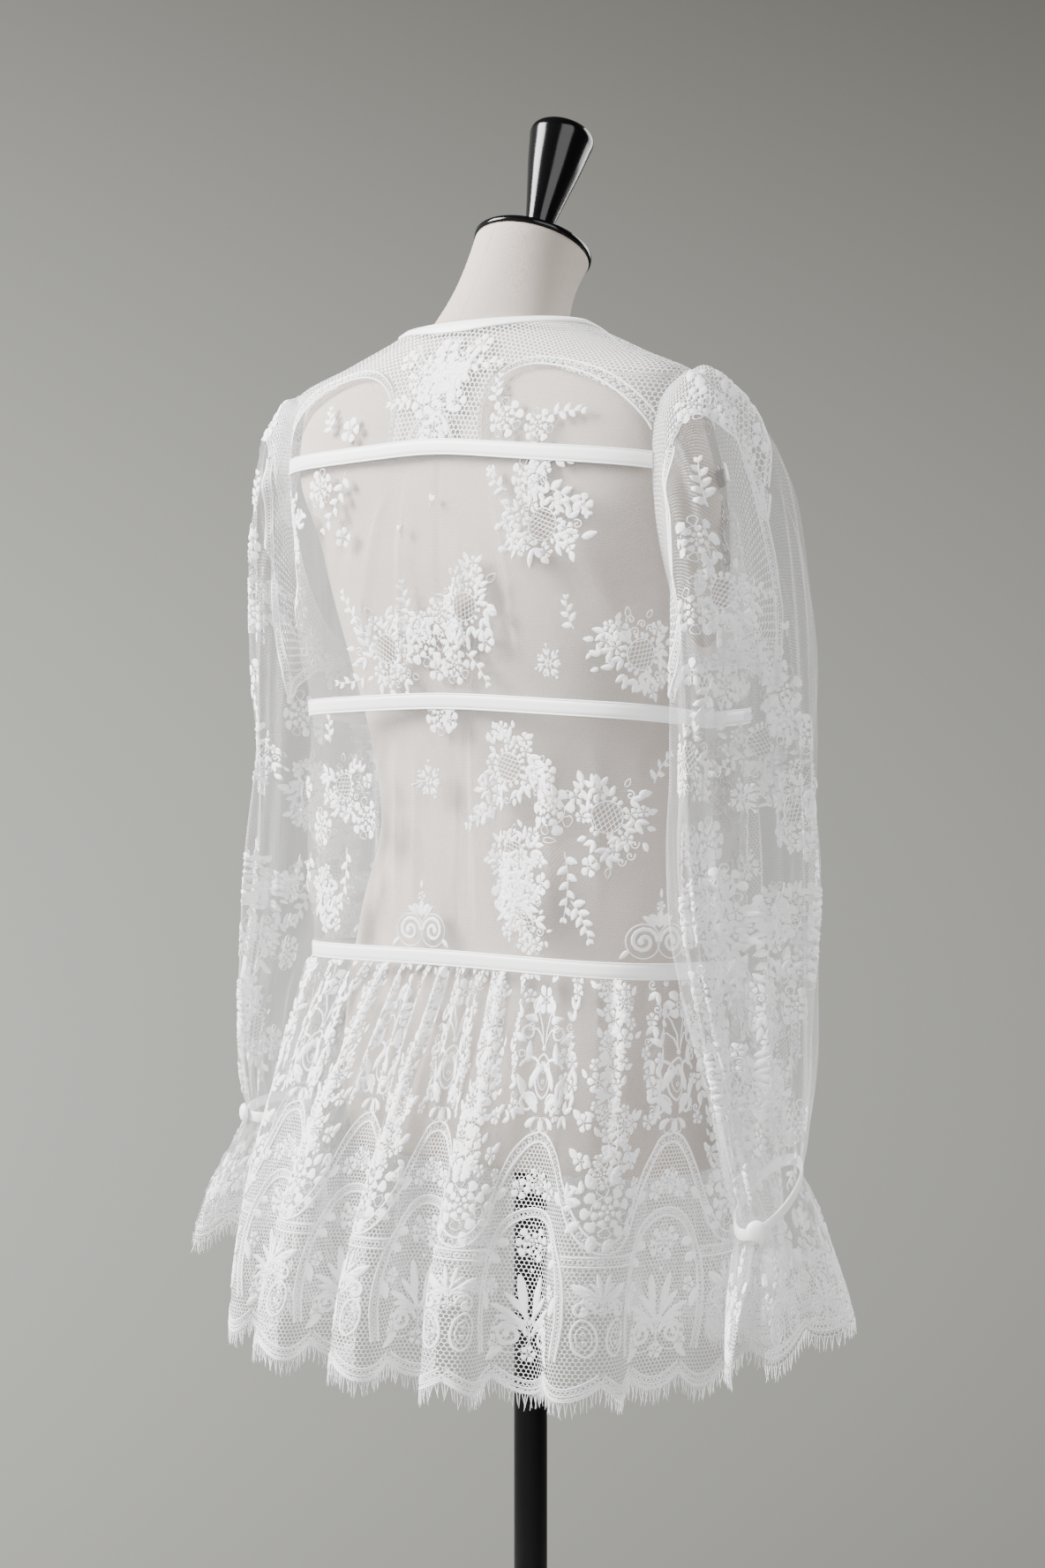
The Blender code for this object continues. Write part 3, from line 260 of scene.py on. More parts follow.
def crease_depth(creases, u, v, breadth):
    """How far a list of creases lifts the cloth. Breadth is the metres to one step of u."""
    lift = np.zeros(np.broadcast(u, v).shape)
    for c in creases:
        way_u, way_v = (c.u1 - c.u0) * breadth, c.v1 - c.v0
        length = math.hypot(way_u, way_v)
        off_u, off_v = (u - c.u0) * breadth, v - c.v0
        along = (off_u * way_u + off_v * way_v) / length
        beside = (off_v * way_u - off_u * way_v) / length
        ends = smoothstep(0.0, 0.3, along / length) * (1 - smoothstep(0.7, 1.0, along / length))
        lift = lift + c.depth * ends * np.exp(-((beside / c.width) ** 2))
    return lift


# The curvature, in turns of one radian to the metre, at which a fold starts to show and is full
FOLD_CURVES = (55.0, 260.0)


class Surface:
    """A surface of cloth as a fine lattice of points and outward directions, read at any u and v."""

    def __init__(self, place, u_range, v_range, steps, ring=False, creases=(), breadth=1.0):
        self.u = np.linspace(*u_range, steps[0] + 1)
        self.v = np.linspace(*v_range, steps[1] + 1)
        self.ring = ring
        u, v = np.meshgrid(self.u, self.v)
        self.points = settled(place(u, v))
        self.away = self.outward()
        if creases:
            self.points = self.points + self.away * crease_depth(creases, u, v, breadth)[..., None]
            self.away = self.outward()

    def outward(self):
        across, up = np.gradient(self.points, axis=1), np.gradient(self.points, axis=0)
        if self.ring:
            across[:, 0] = across[:, -1] = (self.points[:, 1] - self.points[:, -2]) / 2
        return unit(np.cross(across, up))

    def folds(self, u, v):
        """How sharply the cloth turns at u and v, from 0 to 1. Gathered net is denser along its folds."""
        across, up = self.cell(np.asarray(u, float), np.asarray(v, float))
        turned = np.linalg.norm(np.gradient(self.away, axis=1), axis=2)
        length = np.linalg.norm(np.gradient(self.points, axis=1), axis=2)
        sharp = smoothstep(*FOLD_CURVES, turned / np.maximum(length, 1e-6))
        return sharp[np.rint(up).astype(int), np.rint(across).astype(int)]

    def cell(self, u, v):
        if self.ring:
            u = (u - self.u[0]) % (self.u[-1] - self.u[0]) + self.u[0]
        across = np.clip((u - self.u[0]) / (self.u[1] - self.u[0]), 0, len(self.u) - 1.001)
        up = np.clip((v - self.v[0]) / (self.v[1] - self.v[0]), 0, len(self.v) - 1.001)
        return across, up

    def read(self, u, v):
        """Points and outward directions at u and v."""
        across, up = self.cell(np.asarray(u, float), np.asarray(v, float))
        k, i = across.astype(int), up.astype(int)
        s, t = (across - k)[..., None], (up - i)[..., None]
        found = []
        for grid in (self.points, self.away):
            low = grid[i, k] * (1 - s) + grid[i, k + 1] * s
            high = grid[i + 1, k] * (1 - s) + grid[i + 1, k + 1] * s
            found.append(low * (1 - t) + high * t)
        return found[0], unit(found[1])

    def metric(self, u, v):
        """The matrix that turns metres across and upright at a place of the cloth into steps of u and v."""
        step_u, step_v = (self.u[1] - self.u[0]) * 2, (self.v[1] - self.v[0]) * 2
        place, away = self.read(u, v)
        along_u = (self.read(u + step_u, v)[0] - self.read(u - step_u, v)[0]) / (2 * step_u)
        along_v = (self.read(u, v + step_v)[0] - self.read(u, v - step_v)[0]) / (2 * step_v)
        upright = unit(np.array([0, 0, 1.0]) - away * away[2])
        rightward = np.cross(upright, away)
        basis = np.stack([along_u, along_v], axis=1)
        return np.linalg.pinv(basis) @ np.stack([rightward, upright], axis=1)


def body_place(u, v):
    return section_point(BODY, -u, v)


def round_turn(u):
    """The turn from the centre back, between minus and plus half a round."""
    return np.remainder(-np.asarray(u) + math.pi, 2 * math.pi) - math.pi


def armhole_edge(angle):
    """Points of the left armhole: angle 0 is the shoulder tip, a quarter turn the back of it."""
    height = ARMHOLE_MIDDLE + ARMHOLE_HALF_HEIGHT * np.cos(angle)
    bottom = ARMHOLE_MIDDLE - ARMHOLE_HALF_HEIGHT
    centre = column(BODY, "middle", bottom / CM) * CM
    centre = centre + ARMHOLE_LEAN * (height - bottom) / (2 * ARMHOLE_HALF_HEIGHT)
    y = centre + ARMHOLE_HALF_WIDTH * np.sin(angle)
    z = height / CM
    half_width, middle, depth, square = section_shape(BODY, z, y / CM >= column(BODY, "middle", z))
    share = np.minimum(1.0, np.abs(y / CM - middle) / depth)
    x = half_width * (1 - share**square) ** (1 / square) * CM
    return np.stack([x, y, height], axis=-1)


def side_turn(height, behind):
    """How far a panel reaches from the centre back at a height: to the armhole or the side seam."""
    cosine = (height - ARMHOLE_MIDDLE) / ARMHOLE_HALF_HEIGHT
    if abs(cosine) >= 1:
        return math.pi / 2
    angle = math.acos(cosine)
    x, y, _ = armhole_edge(angle if behind else -angle)
    return math.atan2(x, y - column(BODY, "middle", height / CM) * CM)


def armhole_height(step):
    return ARMHOLE_MIDDLE + ARMHOLE_HALF_HEIGHT * math.cos(math.pi * step / ARMHOLE_STEPS)


# A level line of a body panel, whose height is given at its side, the centre back and the centre front
Level = namedtuple("Level", "side back front bend")


def raised(level, by):
    return Level(level.side + by, level.back + by, level.front + by, level.bend)


def between(low, high, share):
    """The level a share of the way from one to another."""
    return Level(*(a + (b - a) * share for a, b in zip(low, high)))


def neck_level(below):
    """The level a distance below the neckline, measured along the cloth."""
    back = NECK_BACK_HEIGHT - below
    side = NECK_BACK_HEIGHT - below * SHOULDER_RISE
    return Level(side, back, NECK_FRONT_HEIGHT - below * CHEST_RISE, NECK_BEND)


def yoke_levels():
    side = armhole_height(UPPER_SEAM_STEP)
    seam = Level(side, UPPER_SEAM_BACK, UPPER_SEAM_FRONT, 1.0)
    levels = [seam, raised(seam, TAPE_WIDTH / 2)]
    tip = armhole_height(0)
    top = neck_level(BINDING_WIDTH)
    sides = [armhole_height(step) for step in (2, 1, 0)]
    sides += [tip + (top.side - tip) * share for share in (0.35, 0.7)]
    for k, height in enumerate(sides):
        share = (k + 1) / (len(sides) + 1)
        back = levels[1].back + (top.back - levels[1].back) * share
        front = levels[1].front + (top.front - levels[1].front) * share
        levels.append(Level(height, back, front, 1 + (NECK_BEND - 1) * share))
    return levels + [top, neck_level(0.0)]


def upper_tier_levels():
    low = MIDDLE_SEAM - MIDDLE_SEAM_SAG
    top = armhole_height(UPPER_SEAM_STEP)
    levels = [Level(low, MIDDLE_SEAM, MIDDLE_SEAM, 1.0)]
    row = UNDERARM_ROW + MIDDLE_SEAM_SAG
    levels.append(Level(UNDERARM_ROW, row, row, 1.0))
    for step in range(ARMHOLE_STEPS, UPPER_SEAM_STEP - 1, -1):
        side = armhole_height(step)
        rise = (side - low) / (top - low)
        back = MIDDLE_SEAM + (UPPER_SEAM_BACK - MIDDLE_SEAM) * rise
        front = MIDDLE_SEAM + (UPPER_SEAM_FRONT - MIDDLE_SEAM) * rise
        levels.append(Level(side, back, front, 1.0))
    return levels


def lower_tier_levels():
    low = Level(LOWER_SEAM - LOWER_SEAM_SAG, LOWER_SEAM, LOWER_SEAM, 1.0)
    return [low, Level(MIDDLE_SEAM - MIDDLE_SEAM_SAG, MIDDLE_SEAM, MIDDLE_SEAM, 1.0)]


def refined(levels, parts):
    """A list of levels with each stretch split into parts."""
    fine = [levels[0]]
    for low, high in zip(levels, levels[1:]):
        fine += [between(low, high, k / parts) for k in range(1, parts + 1)]
    return fine


def level_line(level, shares, behind):
    """The u and v of a level line. Shares run from -1 at the right side seam to 1 at the left one."""
    reach = side_turn(level.side, behind)
    if not behind:
        reach = math.pi - reach
    centre = level.back if behind else level.front
    height = centre + (level.side - centre) * (1 - (1 - shares**2) ** level.bend)
    turn = shares * reach if behind else math.pi - shares * reach
    return -turn, height


def panel_grid(levels, behind, columns, low=-1.0, high=1.0):
    """The u and v of a panel's points, so that its columns run to the right as seen from outside."""
    shares = np.linspace(low, high, columns + 1)
    if behind:
        shares = shares[::-1]
    return tuple(np.array([level_line(level, shares, behind) for level in levels]).swapaxes(0, 1))


def ring_grid(levels, columns):
    """The u and v of a band round the body, across the back and then across the front."""
    back, front = panel_grid(levels, True, columns), panel_grid(levels, False, columns)
    halves = zip(back, front, (2 * math.pi, 0.0))
    return tuple(np.concatenate([a[:, :-1], b[:, :-1] + shift], axis=1) for a, b, shift in halves)


# The body's cloth: main creases, on the back first and then similar ones in front
BODY_BREADTH = 0.145
BODY_CREASES = creases(
    (0.62, 1285, 0.95, 1180, 7, 4.5), (0.8, 1275, 1.1, 1150, 5.6, -3.3),
    (1.02, 1235, 1.22, 1120, 6.3, 5.1), (0.3, 1240, 0.22, 1120, 9.8, 3),
    (-0.55, 1280, -0.75, 1130, 7.7, 4.5), (-0.8, 1250, -1, 1115, 6.3, -3.6),
    (-1.15, 1200, -1.2, 1112, 7, 4.8), (-0.3, 1085, -0.34, 930, 7, 3.6),
    (-0.62, 1095, -0.6, 940, 5.6, 5.1), (-0.86, 1090, -0.9, 925, 7, -3.9),
    (-1.2, 1090, -1.16, 925, 8.4, 5.7), (0.12, 1080, 0.1, 955, 8.4, 2.7), (0.46, 1090, 0.5, 930, 7.7, -3),
    (0.84, 1095, 0.8, 925, 6.3, 4.8), (1.18, 1090, 1.22, 930, 8.4, 5.7), (1.75, 1095, 1.8, 930, 7.7, 5.1),
    (2.2, 1090, 2.26, 940, 7, 3.9), (2.7, 1085, 2.66, 930, 8.4, 3.3), (-1.8, 1095, -1.74, 930, 8.4, 5.1),
    (-2.26, 1090, -2.3, 935, 7, 3.9), (-2.8, 1085, -2.76, 930, 7.7, 3.3), (1.85, 1215, 2.1, 1115, 7, 4.5),
    (2.45, 1250, 2.4, 1120, 8.4, 3.3), (-1.85, 1215, -2.12, 1118, 7, 4.5),
    (-2.5, 1245, -2.44, 1122, 8.4, 3.3),
    # Narrow folds
    (0.27, 1102, 0.29, 925, 3.4, 2.6), (1.02, 1100, 0.99, 930, 3.4, 3), (-0.48, 1100, -0.5, 930, 3.4, 2.6),
    (0.66, 1284, 0.7, 1118, 3.4, 2.8), (-0.36, 1284, -0.4, 1116, 3.4, 2.4),
    (2.1, 1100, 2.06, 930, 3.4, 2.8), (2.95, 1100, 2.98, 930, 3.4, 2.6),
    (-2.05, 1100, -2.08, 930, 3.4, 2.8), (2.3, 1230, 2.26, 1118, 3.4, 2.6),
    (-2.34, 1230, -2.3, 1118, 3.4, 2.6),
)


def flute_angle(share):
    """Phase of the peplum's flutes at a share of the way round, with uneven spacing."""
    uneven = 0.16 * np.sin(2 * math.pi * (2 * share + 0.13))
    uneven = uneven + 0.10 * np.sin(2 * math.pi * (5 * share + 0.4))
    return 2 * math.pi * FLUTES * share + 2 * uneven


def hem_depth(share, scallops=SCALLOPS, depth=SCALLOP_DEPTH):
    return -depth * np.abs(np.sin(math.pi * scallops * share))


def peplum_place(u, v):
    """The peplum: small gathers at the seam open into deep flutes at the hem. U is a share of the round."""
    share = -u
    turn = 2 * math.pi * share
    drop = np.clip((LOWER_SEAM - v) / (LOWER_SEAM - HEM_HEIGHT), 0.0, 1.0)
    place = section_point(PEPLUM, turn, v)
    seam_share = np.abs(np.remainder(turn + math.pi / 2, math.pi) - math.pi / 2) / (math.pi / 2)
    place[..., 2] -= LOWER_SEAM_SAG * seam_share**2 * (1 - smoothstep(0.0, 0.5, drop))
    across = unit(section_point(PEPLUM, turn + 1e-3, v) - section_point(PEPLUM, turn - 1e-3, v))
    away = np.stack([-across[..., 1], across[..., 0], 0 * drop], axis=-1)
    phase = flute_angle(share)
    beside_sleeves = 0.45 + 0.55 * np.abs(np.cos(turn))
    opened = smoothstep(0.05, 0.95, drop) * beside_sleeves
    uneven = 1 + 0.22 * np.sin(2 * math.pi * (3 * share + 0.2))
    lift = FLUTE_DEPTH * opened * uneven * np.cos(phase)
    slide = FLUTE_OVERHANG * opened * np.sin(2 * phase)
    fine = np.cos(2 * math.pi * 47 * share + 2.2 * np.sin(2 * math.pi * 5 * share))
    fine = fine + 0.5 * np.cos(2 * math.pi * 83 * share + 1.0)
    gathered = smoothstep(0.012, 0.05, drop) * (1 - smoothstep(0.12, 0.62, drop))
    lift = lift + 0.0026 * gathered * fine
    return place + away * lift[..., None] + across * slide[..., None]


def hung(ring, hang):
    """A ring as one of the two sleeves wears it, for arrays of rings."""
    below_elbow = 1 - smoothstep(80.0, 100.0, ring["in_z"])
    width = hang.width + (1 - hang.width) * below_elbow
    width = np.where(ring["in_z"] > 111.5, 1 - (1 - hang.width) * 0.3, width)
    rise = hang.lift / CM * below_elbow
    worn = dict(ring)
    worn["in_z"] = ring["in_z"] + rise
    worn["out_x"] = ring["in_x"] + (ring["out_x"] - ring["in_x"]) * width
    worn["out_z"] = ring["out_z"] + rise
    worn["reach"] = ring["reach"] * (1 - (1 - width) / 2)
    worn["droop"] = ring["droop"] * hang.droop
    return worn


def ring_at(table, row, hang):
    names = Ring._fields[1:]
    return hung({name: column(table, name, row, "row") for name in names}, hang)


def ring_point(ring, angle):
    """Points of sleeve rings: angle 0 is the outer line, a quarter turn is the back."""
    inner = np.stack([ring["in_x"], ring["in_y"], ring["in_z"]], axis=-1) * CM
    outer = np.stack([ring["out_x"], ring["out_y"], ring["out_z"]], axis=-1) * CM
    back = np.stack([0 * ring["reach"], ring["reach"], -ring["droop"]], axis=-1) * CM
    cosine, sine = np.cos(angle)[..., None], np.sin(angle)[..., None]
    return (inner + outer) / 2 + (outer - inner) / 2 * cosine + back * sine, (inner + outer) / 2


# Metres to one radian of a sleeve, for its creases and for its net's flat cut
SLEEVE_BREADTH = 0.062
SLEEVE_BREADTH_FLAT = 0.060
SLEEVE_DROP = 0.048
SLEEVE_LOW = -SLEEVE_DROP * (len(SLEEVE) - 1)
SLEEVE_CREASES = creases(
    (1.3, -30, 1.15, -260, 7.2, 6.4), (1.75, -40, 1.55, -300, 5.8, -5.1), (2.2, -50, 1.95, -360, 7.2, 6.7),
    (0.8, -60, 0.7, -340, 8.6, 5.4), (0.2, -50, 0.1, -300, 8.6, 4.8), (1.05, -220, 1.3, -500, 6.5, -6.4),
    (1.45, -240, 1.62, -500, 5.8, 7.7), (1.9, -280, 1.95, -510, 6.5, -5.8),
    (0.55, -280, 0.62, -500, 7.9, 7.4), (0.05, -260, 0, -500, 7.9, -5.8),
    (2.55, -200, 2.5, -500, 7.2, 5.8), (-0.6, -50, -0.7, -320, 8.6, 5.8),
    (-1.3, -40, -1.2, -300, 7.2, 6.7), (-1.9, -60, -1.95, -340, 7.2, -5.4),
    (-0.5, -260, -0.55, -500, 7.2, 7.4), (-1.1, -260, -1.05, -500, 6.5, -6.4),
    (-1.6, -240, -1.55, -500, 6.5, 7), (-2.3, -200, -2.3, -500, 7.2, 5.8),
    # Long narrow folds from the head to the wrist
    (-2.75, -40, -2.6, -500, 3.8, 4.6), (-2.05, -20, -2.3, -470, 3.4, 4),
    (-1.52, -80, -1.28, -520, 3.8, 5.2), (-0.98, -10, -1.02, -400, 3.4, 4.2),
    (-0.3, -30, -0.62, -500, 3.8, 5), (0.22, -100, 0.34, -520, 3.4, 4.4), (0.62, -20, 0.42, -440, 3.8, 5),
    (1.02, -40, 1.18, -500, 3.4, 4), (1.62, -30, 1.42, -520, 3.8, 5.2), (2.02, -120, 2.1, -500, 3.4, 4.2),
    (2.42, -20, 2.72, -480, 3.8, 4.8),
)


def sleeve_place(hang):
    """A sleeve's surface: u is the turn round the arm, and v falls by SLEEVE_DROP from ring to ring."""

    def place(u, v):
        angle = u * hang.side
        row = -v / SLEEVE_DROP
        points, centre = ring_point(ring_at(SLEEVE, np.clip(row, 0.0, len(SLEEVE) - 1.0), hang), angle)
        away = unit(points - centre)
        near_head = smoothstep(0, 1.2, row) * (1 - smoothstep(1.5, 4.5, row))
        near_head = near_head * np.maximum(0.0, np.cos(angle))
        near_wrist = smoothstep(8.2, 10.4, row)
        gathers = np.cos(WRIST_GATHERS * angle + 0.8 * np.sin(3 * angle))
        lift = SLEEVE_HEAD_PUFF * near_head * (0.6 + 0.7 * np.cos(15 * angle + 0.9 * np.sin(2 * angle)))
        lift = lift + WRIST_GATHER_DEPTH * near_wrist * gathers * (1 - smoothstep(10.7, 11.0, row) * 0.6)
        points = points + away * lift[..., None]
        share = smoothstep(-1, SLEEVE_ARM_ROWS, row)[..., None]
        sewn = armhole_edge(angle) * (1 - share) + points * share
        points = np.where(row[..., None] < SLEEVE_ARM_ROWS, sewn, points)
        return points * np.array([hang.side, 1.0, 1.0])

    return place


def cuff_place(hang):
    """A cuff ruffle's surface, open at the slit: u is a share of the way round, v falls from 0 to -1."""

    def place(u, v):
        share = np.clip(u if hang.side > 0 else 1 - u, 0.0, 1.0)
        fall = np.clip(-v, 0.0, 1.0)
        row = fall * (len(CUFF) - 1)
        slit = CUFF_SLIT_HALF + CUFF_SLIT_SPREAD * fall
        angle = CUFF_SLIT_TURN + slit + (2 * math.pi - 2 * slit) * share
        points, centre = ring_point(ring_at(CUFF, row, hang), angle)
        away = unit(points - centre)
        wave = CUFF_WAVE_DEPTH * fall**1.3 * np.cos(2 * math.pi * CUFF_WAVES * share)
        gathers = 0.0016 * smoothstep(0.02, 0.12, fall) * (1 - smoothstep(0.2, 0.7, fall))
        wave = wave + gathers * np.cos(2 * math.pi * 19 * share + np.sin(12 * share))
        outer_only = 0.4 + 0.6 * smoothstep(-0.6, 0.3, np.cos(angle))
        corner = CUFF_CORNER_DROP * fall**2 * (1 - smoothstep(0.0, 0.10, np.minimum(share, 1 - share)))
        hem = hem_depth(share, CUFF_SCALLOPS, CUFF_SCALLOP_DEPTH) * smoothstep(0.75, 1.0, fall)
        points = points + away * (wave * outer_only)[..., None]
        points[..., 2] += hem - corner
        return points * np.array([hang.side, 1.0, 1.0])

    return place


class Value:
    """A socket of numbers. Python's operators on it add Math nodes."""

    def __init__(self, shade, socket):
        self.shade = shade
        self.socket = socket

    def math(self, operation, *others):
        return self.shade.node("ShaderNodeMath", {"operation": operation}, dict(enumerate([self, *others])))

    def __add__(self, other):
        return self.math("ADD", other)

    def __sub__(self, other):
        return self.math("SUBTRACT", other)

    def __rsub__(self, other):
        return self.shade.node("ShaderNodeMath", {"operation": "SUBTRACT"}, {0: other, 1: self})

    def __mul__(self, other):
        return self.math("MULTIPLY", other)

    def __truediv__(self, other):
        return self.math("DIVIDE", other)

    def __abs__(self):
        return self.math("ABSOLUTE")

    def __gt__(self, other):
        return self.math("GREATER_THAN", other)

    def __lt__(self, other):
        return self.math("LESS_THAN", other)

    __radd__ = __add__
    __rmul__ = __mul__


class Nodes:
    """The nodes of one tree, whose outputs come back as values."""

    def __init__(self, tree):
        self.tree = tree

    def node(self, kind, settings=None, inputs=None, output=0):
        """Adds a node of a type, sets its settings, feeds its sockets, and returns one of its outputs."""
        made = self.tree.nodes.new(kind)
        for label, value in (settings or {}).items():
            setattr(made, label, value)
        for label, value in (inputs or {}).items():
            if isinstance(value, Value):
                self.tree.links.new(value.socket, made.inputs[label])
            else:
                made.inputs[label].default_value = value
        return Value(self, made.outputs[output])

    def mixed(self, factor, first, second):
        """A colour between two colours."""
        return self.node("ShaderNodeMix", {"data_type": "RGBA"}, {0: factor, 6: first, 7: second}, output=2)

    def split(self, place):
        """The x, y and z of a place."""
        parts = self.node("ShaderNodeSeparateXYZ", inputs={0: place})
        return [Value(self, output) for output in parts.socket.node.outputs]


class Shade(Nodes):
    """One material's nodes, with a Principled shader at their end."""

    def __init__(self, name, **constants):
        self.material = bpy.data.materials.new(name)
        self.material.use_nodes = True
        super().__init__(self.material.node_tree)
        self.shader = self.tree.nodes["Principled BSDF"]
        for label, value in constants.items():
            self.shader.inputs[label.replace("_", " ").title().replace("Ior", "IOR")].default_value = value

    def feed(self, label, value):
        self.tree.links.new(value.socket, self.shader.inputs[label])

    def flat(self):
        """The two metres of the cloth's own flat cut."""
        return self.split(self.node("ShaderNodeTexCoord", output=2))[:2]

    def noise(self, scale, detail=2.0, roughness=0.5):
        place = self.node("ShaderNodeTexCoord", output=3)
        inputs = {"Scale": scale, "Detail": detail, "Roughness": roughness, "Vector": place}
        return self.node("ShaderNodeTexNoise", None, inputs)

    def field(self, name):
        """A number that the mesh carries at its points."""
        return self.node("ShaderNodeAttribute", {"attribute_name": name}, output=2)

    def bump(self, height, strength, distance):
        inputs = {"Height": height, "Strength": strength, "Distance": distance}
        self.feed("Normal", self.node("ShaderNodeBump", None, inputs))


def honeycomb(shade, x, y, cell):
    """How far a place is from the nearest thread of a six-sided net, from 0 at the thread to 0.5."""
    root = math.sqrt(3.0)
    across, up = x / cell, y / (cell * root)

    def nearest(shift_across, shift_up):
        a = (across + shift_across).math("WRAP", 1.0, 0.0) - 0.5
        b = ((up + shift_up).math("WRAP", 1.0, 0.0) - 0.5) * root
        return a, b, a * a + b * b

    a, b, first = nearest(0.0, 0.0)
    c, d, second = nearest(0.5, 0.5)
    take = first < second
    gx = abs(c + (a - c) * take)
    gy = abs(d + (b - d) * take)
    return 0.5 - (gx * 0.5 + gy * (root / 2)).math("MAXIMUM", gx)


def white(shade, colour, dark=0.90):
    """A white that is a little uneven, as thread is."""
    cloudy = shade.noise(60.0, 3.0)
    shade.feed("Base Color", shade.mixed(cloudy, tuple(c * dark for c in colour) + (1,), (*colour, 1)))


class BlouseSettings(bpy.types.PropertyGroup):
    lace_colour: bpy.props.FloatVectorProperty(
        name="Lace colour", description="Colour of the lace threads",
        subtype="COLOR", default=(0.90, 0.90, 0.92)
    )
    tape_colour: bpy.props.FloatVectorProperty(
        name="Tape colour", description="Colour of the tapes", subtype="COLOR", default=(0.90, 0.90, 0.91)
    )
    linen_colour: bpy.props.FloatVectorProperty(
        name="Linen colour", description="Colour of the dress form's cover",
        subtype="COLOR", default=(0.47, 0.41, 0.365)
    )
    net_cell: bpy.props.FloatProperty(
        name="Net cell", description="Width of one cell of the net", default=0.0015, unit="LENGTH"
    )
    net_thread: bpy.props.FloatProperty(
        name="Net thread", description="Half a thread's share of a cell of the net", default=0.026
    )
    open_cell: bpy.props.FloatProperty(
        name="Open cell", description="Width of one cell of the open net", default=0.0031, unit="LENGTH"
    )
    relief: bpy.props.FloatProperty(
        name="Relief", description="Height of the raised lace", default=0.00055, unit="LENGTH"
    )


def settings():
    return bpy.context.scene.blouse


# The nets' cells in metres, and half a thread's share of a cell
OPEN_THREAD = 0.085
PEBBLE_CELL = 0.0042
PEBBLE_THREAD = 0.095
FOLD_FULLNESS = 1.5


def finish_net():
    """Fine six-sided net, with an open net and clear places where the mesh's fields say so."""
    s = settings()
    shade = Shade("lace_net", roughness=0.85, sheen_weight=0.25)
    x, y = shade.flat()
    fuller = shade.field("fold") * FOLD_FULLNESS + 1.0
    fine = honeycomb(shade, x, y, s.net_cell) < fuller * s.net_thread
    wide = honeycomb(shade, x, y, s.open_cell) < OPEN_THREAD
    pebble = honeycomb(shade, x, y, PEBBLE_CELL) < PEBBLE_THREAD
    open_place = shade.field("open") > 0.0
    pebble_place = shade.field("pebble") > 0.0
    clear_place = shade.field("clear") > 0.0
    cover = fine + (wide - fine) * open_place
    cover = cover + (pebble.math("MAXIMUM", fine) - cover) * pebble_place
    cover = cover * (1.0 - clear_place)
    shade.feed("Alpha", cover)
    white(shade, s.lace_colour)
    return shade.material


def finish_lace():
    """Dense clothwork and cords of the lace."""
    shade = Shade("lace_clothwork", roughness=0.70, sheen_weight=0.2)
    x, y = shade.flat()
    threads = (x * 9000.0).math("SINE") * 0.5 + (y * 7600.0).math("SINE") * 0.5
    shade.bump(threads, 0.35, 0.0002)
    white(shade, settings().lace_colour, 0.93)
    return shade.material


def finish_satin():
    """Smooth white tape."""
    shade = Shade("tape_satin", roughness=0.42, sheen_weight=0.1)
    ribs = (shade.flat()[0] * 6200.0).math("SINE")
    shade.bump(ribs + shade.noise(900.0, 2.0) * 2.0, 0.12, 0.0002)
    white(shade, settings().tape_colour, 0.97)
    return shade.material


def finish_label():
    shade = Shade("label_woven", roughness=0.65)
    x, y = shade.flat()
    ribs = (x * 7000.0).math("SINE") + (y * 7000.0).math("SINE")
    shade.bump(ribs, 0.3, 0.0002)
    white(shade, (0.88, 0.88, 0.86), 0.95)
    return shade.material


def finish_linen():
    """Plain-woven linen with uneven yarns."""
    s = settings()
    shade = Shade("linen_cover", roughness=0.92)
    x, y = shade.flat()
    slub = shade.noise(420.0, 3.0, 0.6) * 1.6
    warp = (x * 4300.0 + slub).math("SINE")
    weft = (y * 4300.0 + slub).math("SINE")
    weave = warp * weft
    yarn = shade.noise(900.0, 4.0, 0.7)
    tone = weave * 0.18 + yarn * 0.7 + 0.15
    dark = tuple(c * 0.80 for c in s.linen_colour) + (1,)
    light = tuple(min(1.0, c * 1.10) for c in s.linen_colour) + (1,)
    shade.feed("Base Color", shade.mixed(tone, dark, light))
    shade.bump(weave + yarn * 1.5, 0.45, 0.0004)
    return shade.material


def finish_lacquer():
    shade = Shade("black_lacquer", base_color=(0.002, 0.002, 0.0025, 1), specular_ior_level=0.22)
    smudge = shade.noise(35.0, 4.0)
    shade.feed("Roughness", smudge * 0.10 + 0.10)
    return shade.material


def finish_steel():
    shade = Shade("black_steel", base_color=(0.002, 0.002, 0.0024, 1), specular_ior_level=0.16)
    grain = shade.noise(240.0, 3.0)
    shade.feed("Roughness", grain * 0.12 + 0.30)
    shade.bump(grain, 0.08, 0.0002)
    return shade.material


def finish_floor():
    shade = Shade("floor_pale", roughness=0.9)
    cloudy = shade.noise(2.0, 3.0)
    shade.feed("Base Color", shade.mixed(cloudy, (0.52, 0.52, 0.50, 1), (0.58, 0.58, 0.56, 1)))
    return shade.material


FINISH_MAKERS = {
    "net": finish_net,
    "lace": finish_lace,
    "satin": finish_satin,
    "label": finish_label,
    "linen": finish_linen,
    "lacquer": finish_lacquer,
    "steel": finish_steel,
    "floor": finish_floor,
}
FINISHES = {}


def finish(name):
    """A finish by its name, made when it is first asked for."""
    if name not in FINISHES:
        FINISHES[name] = FINISH_MAKERS[name]()
    return FINISHES[name]


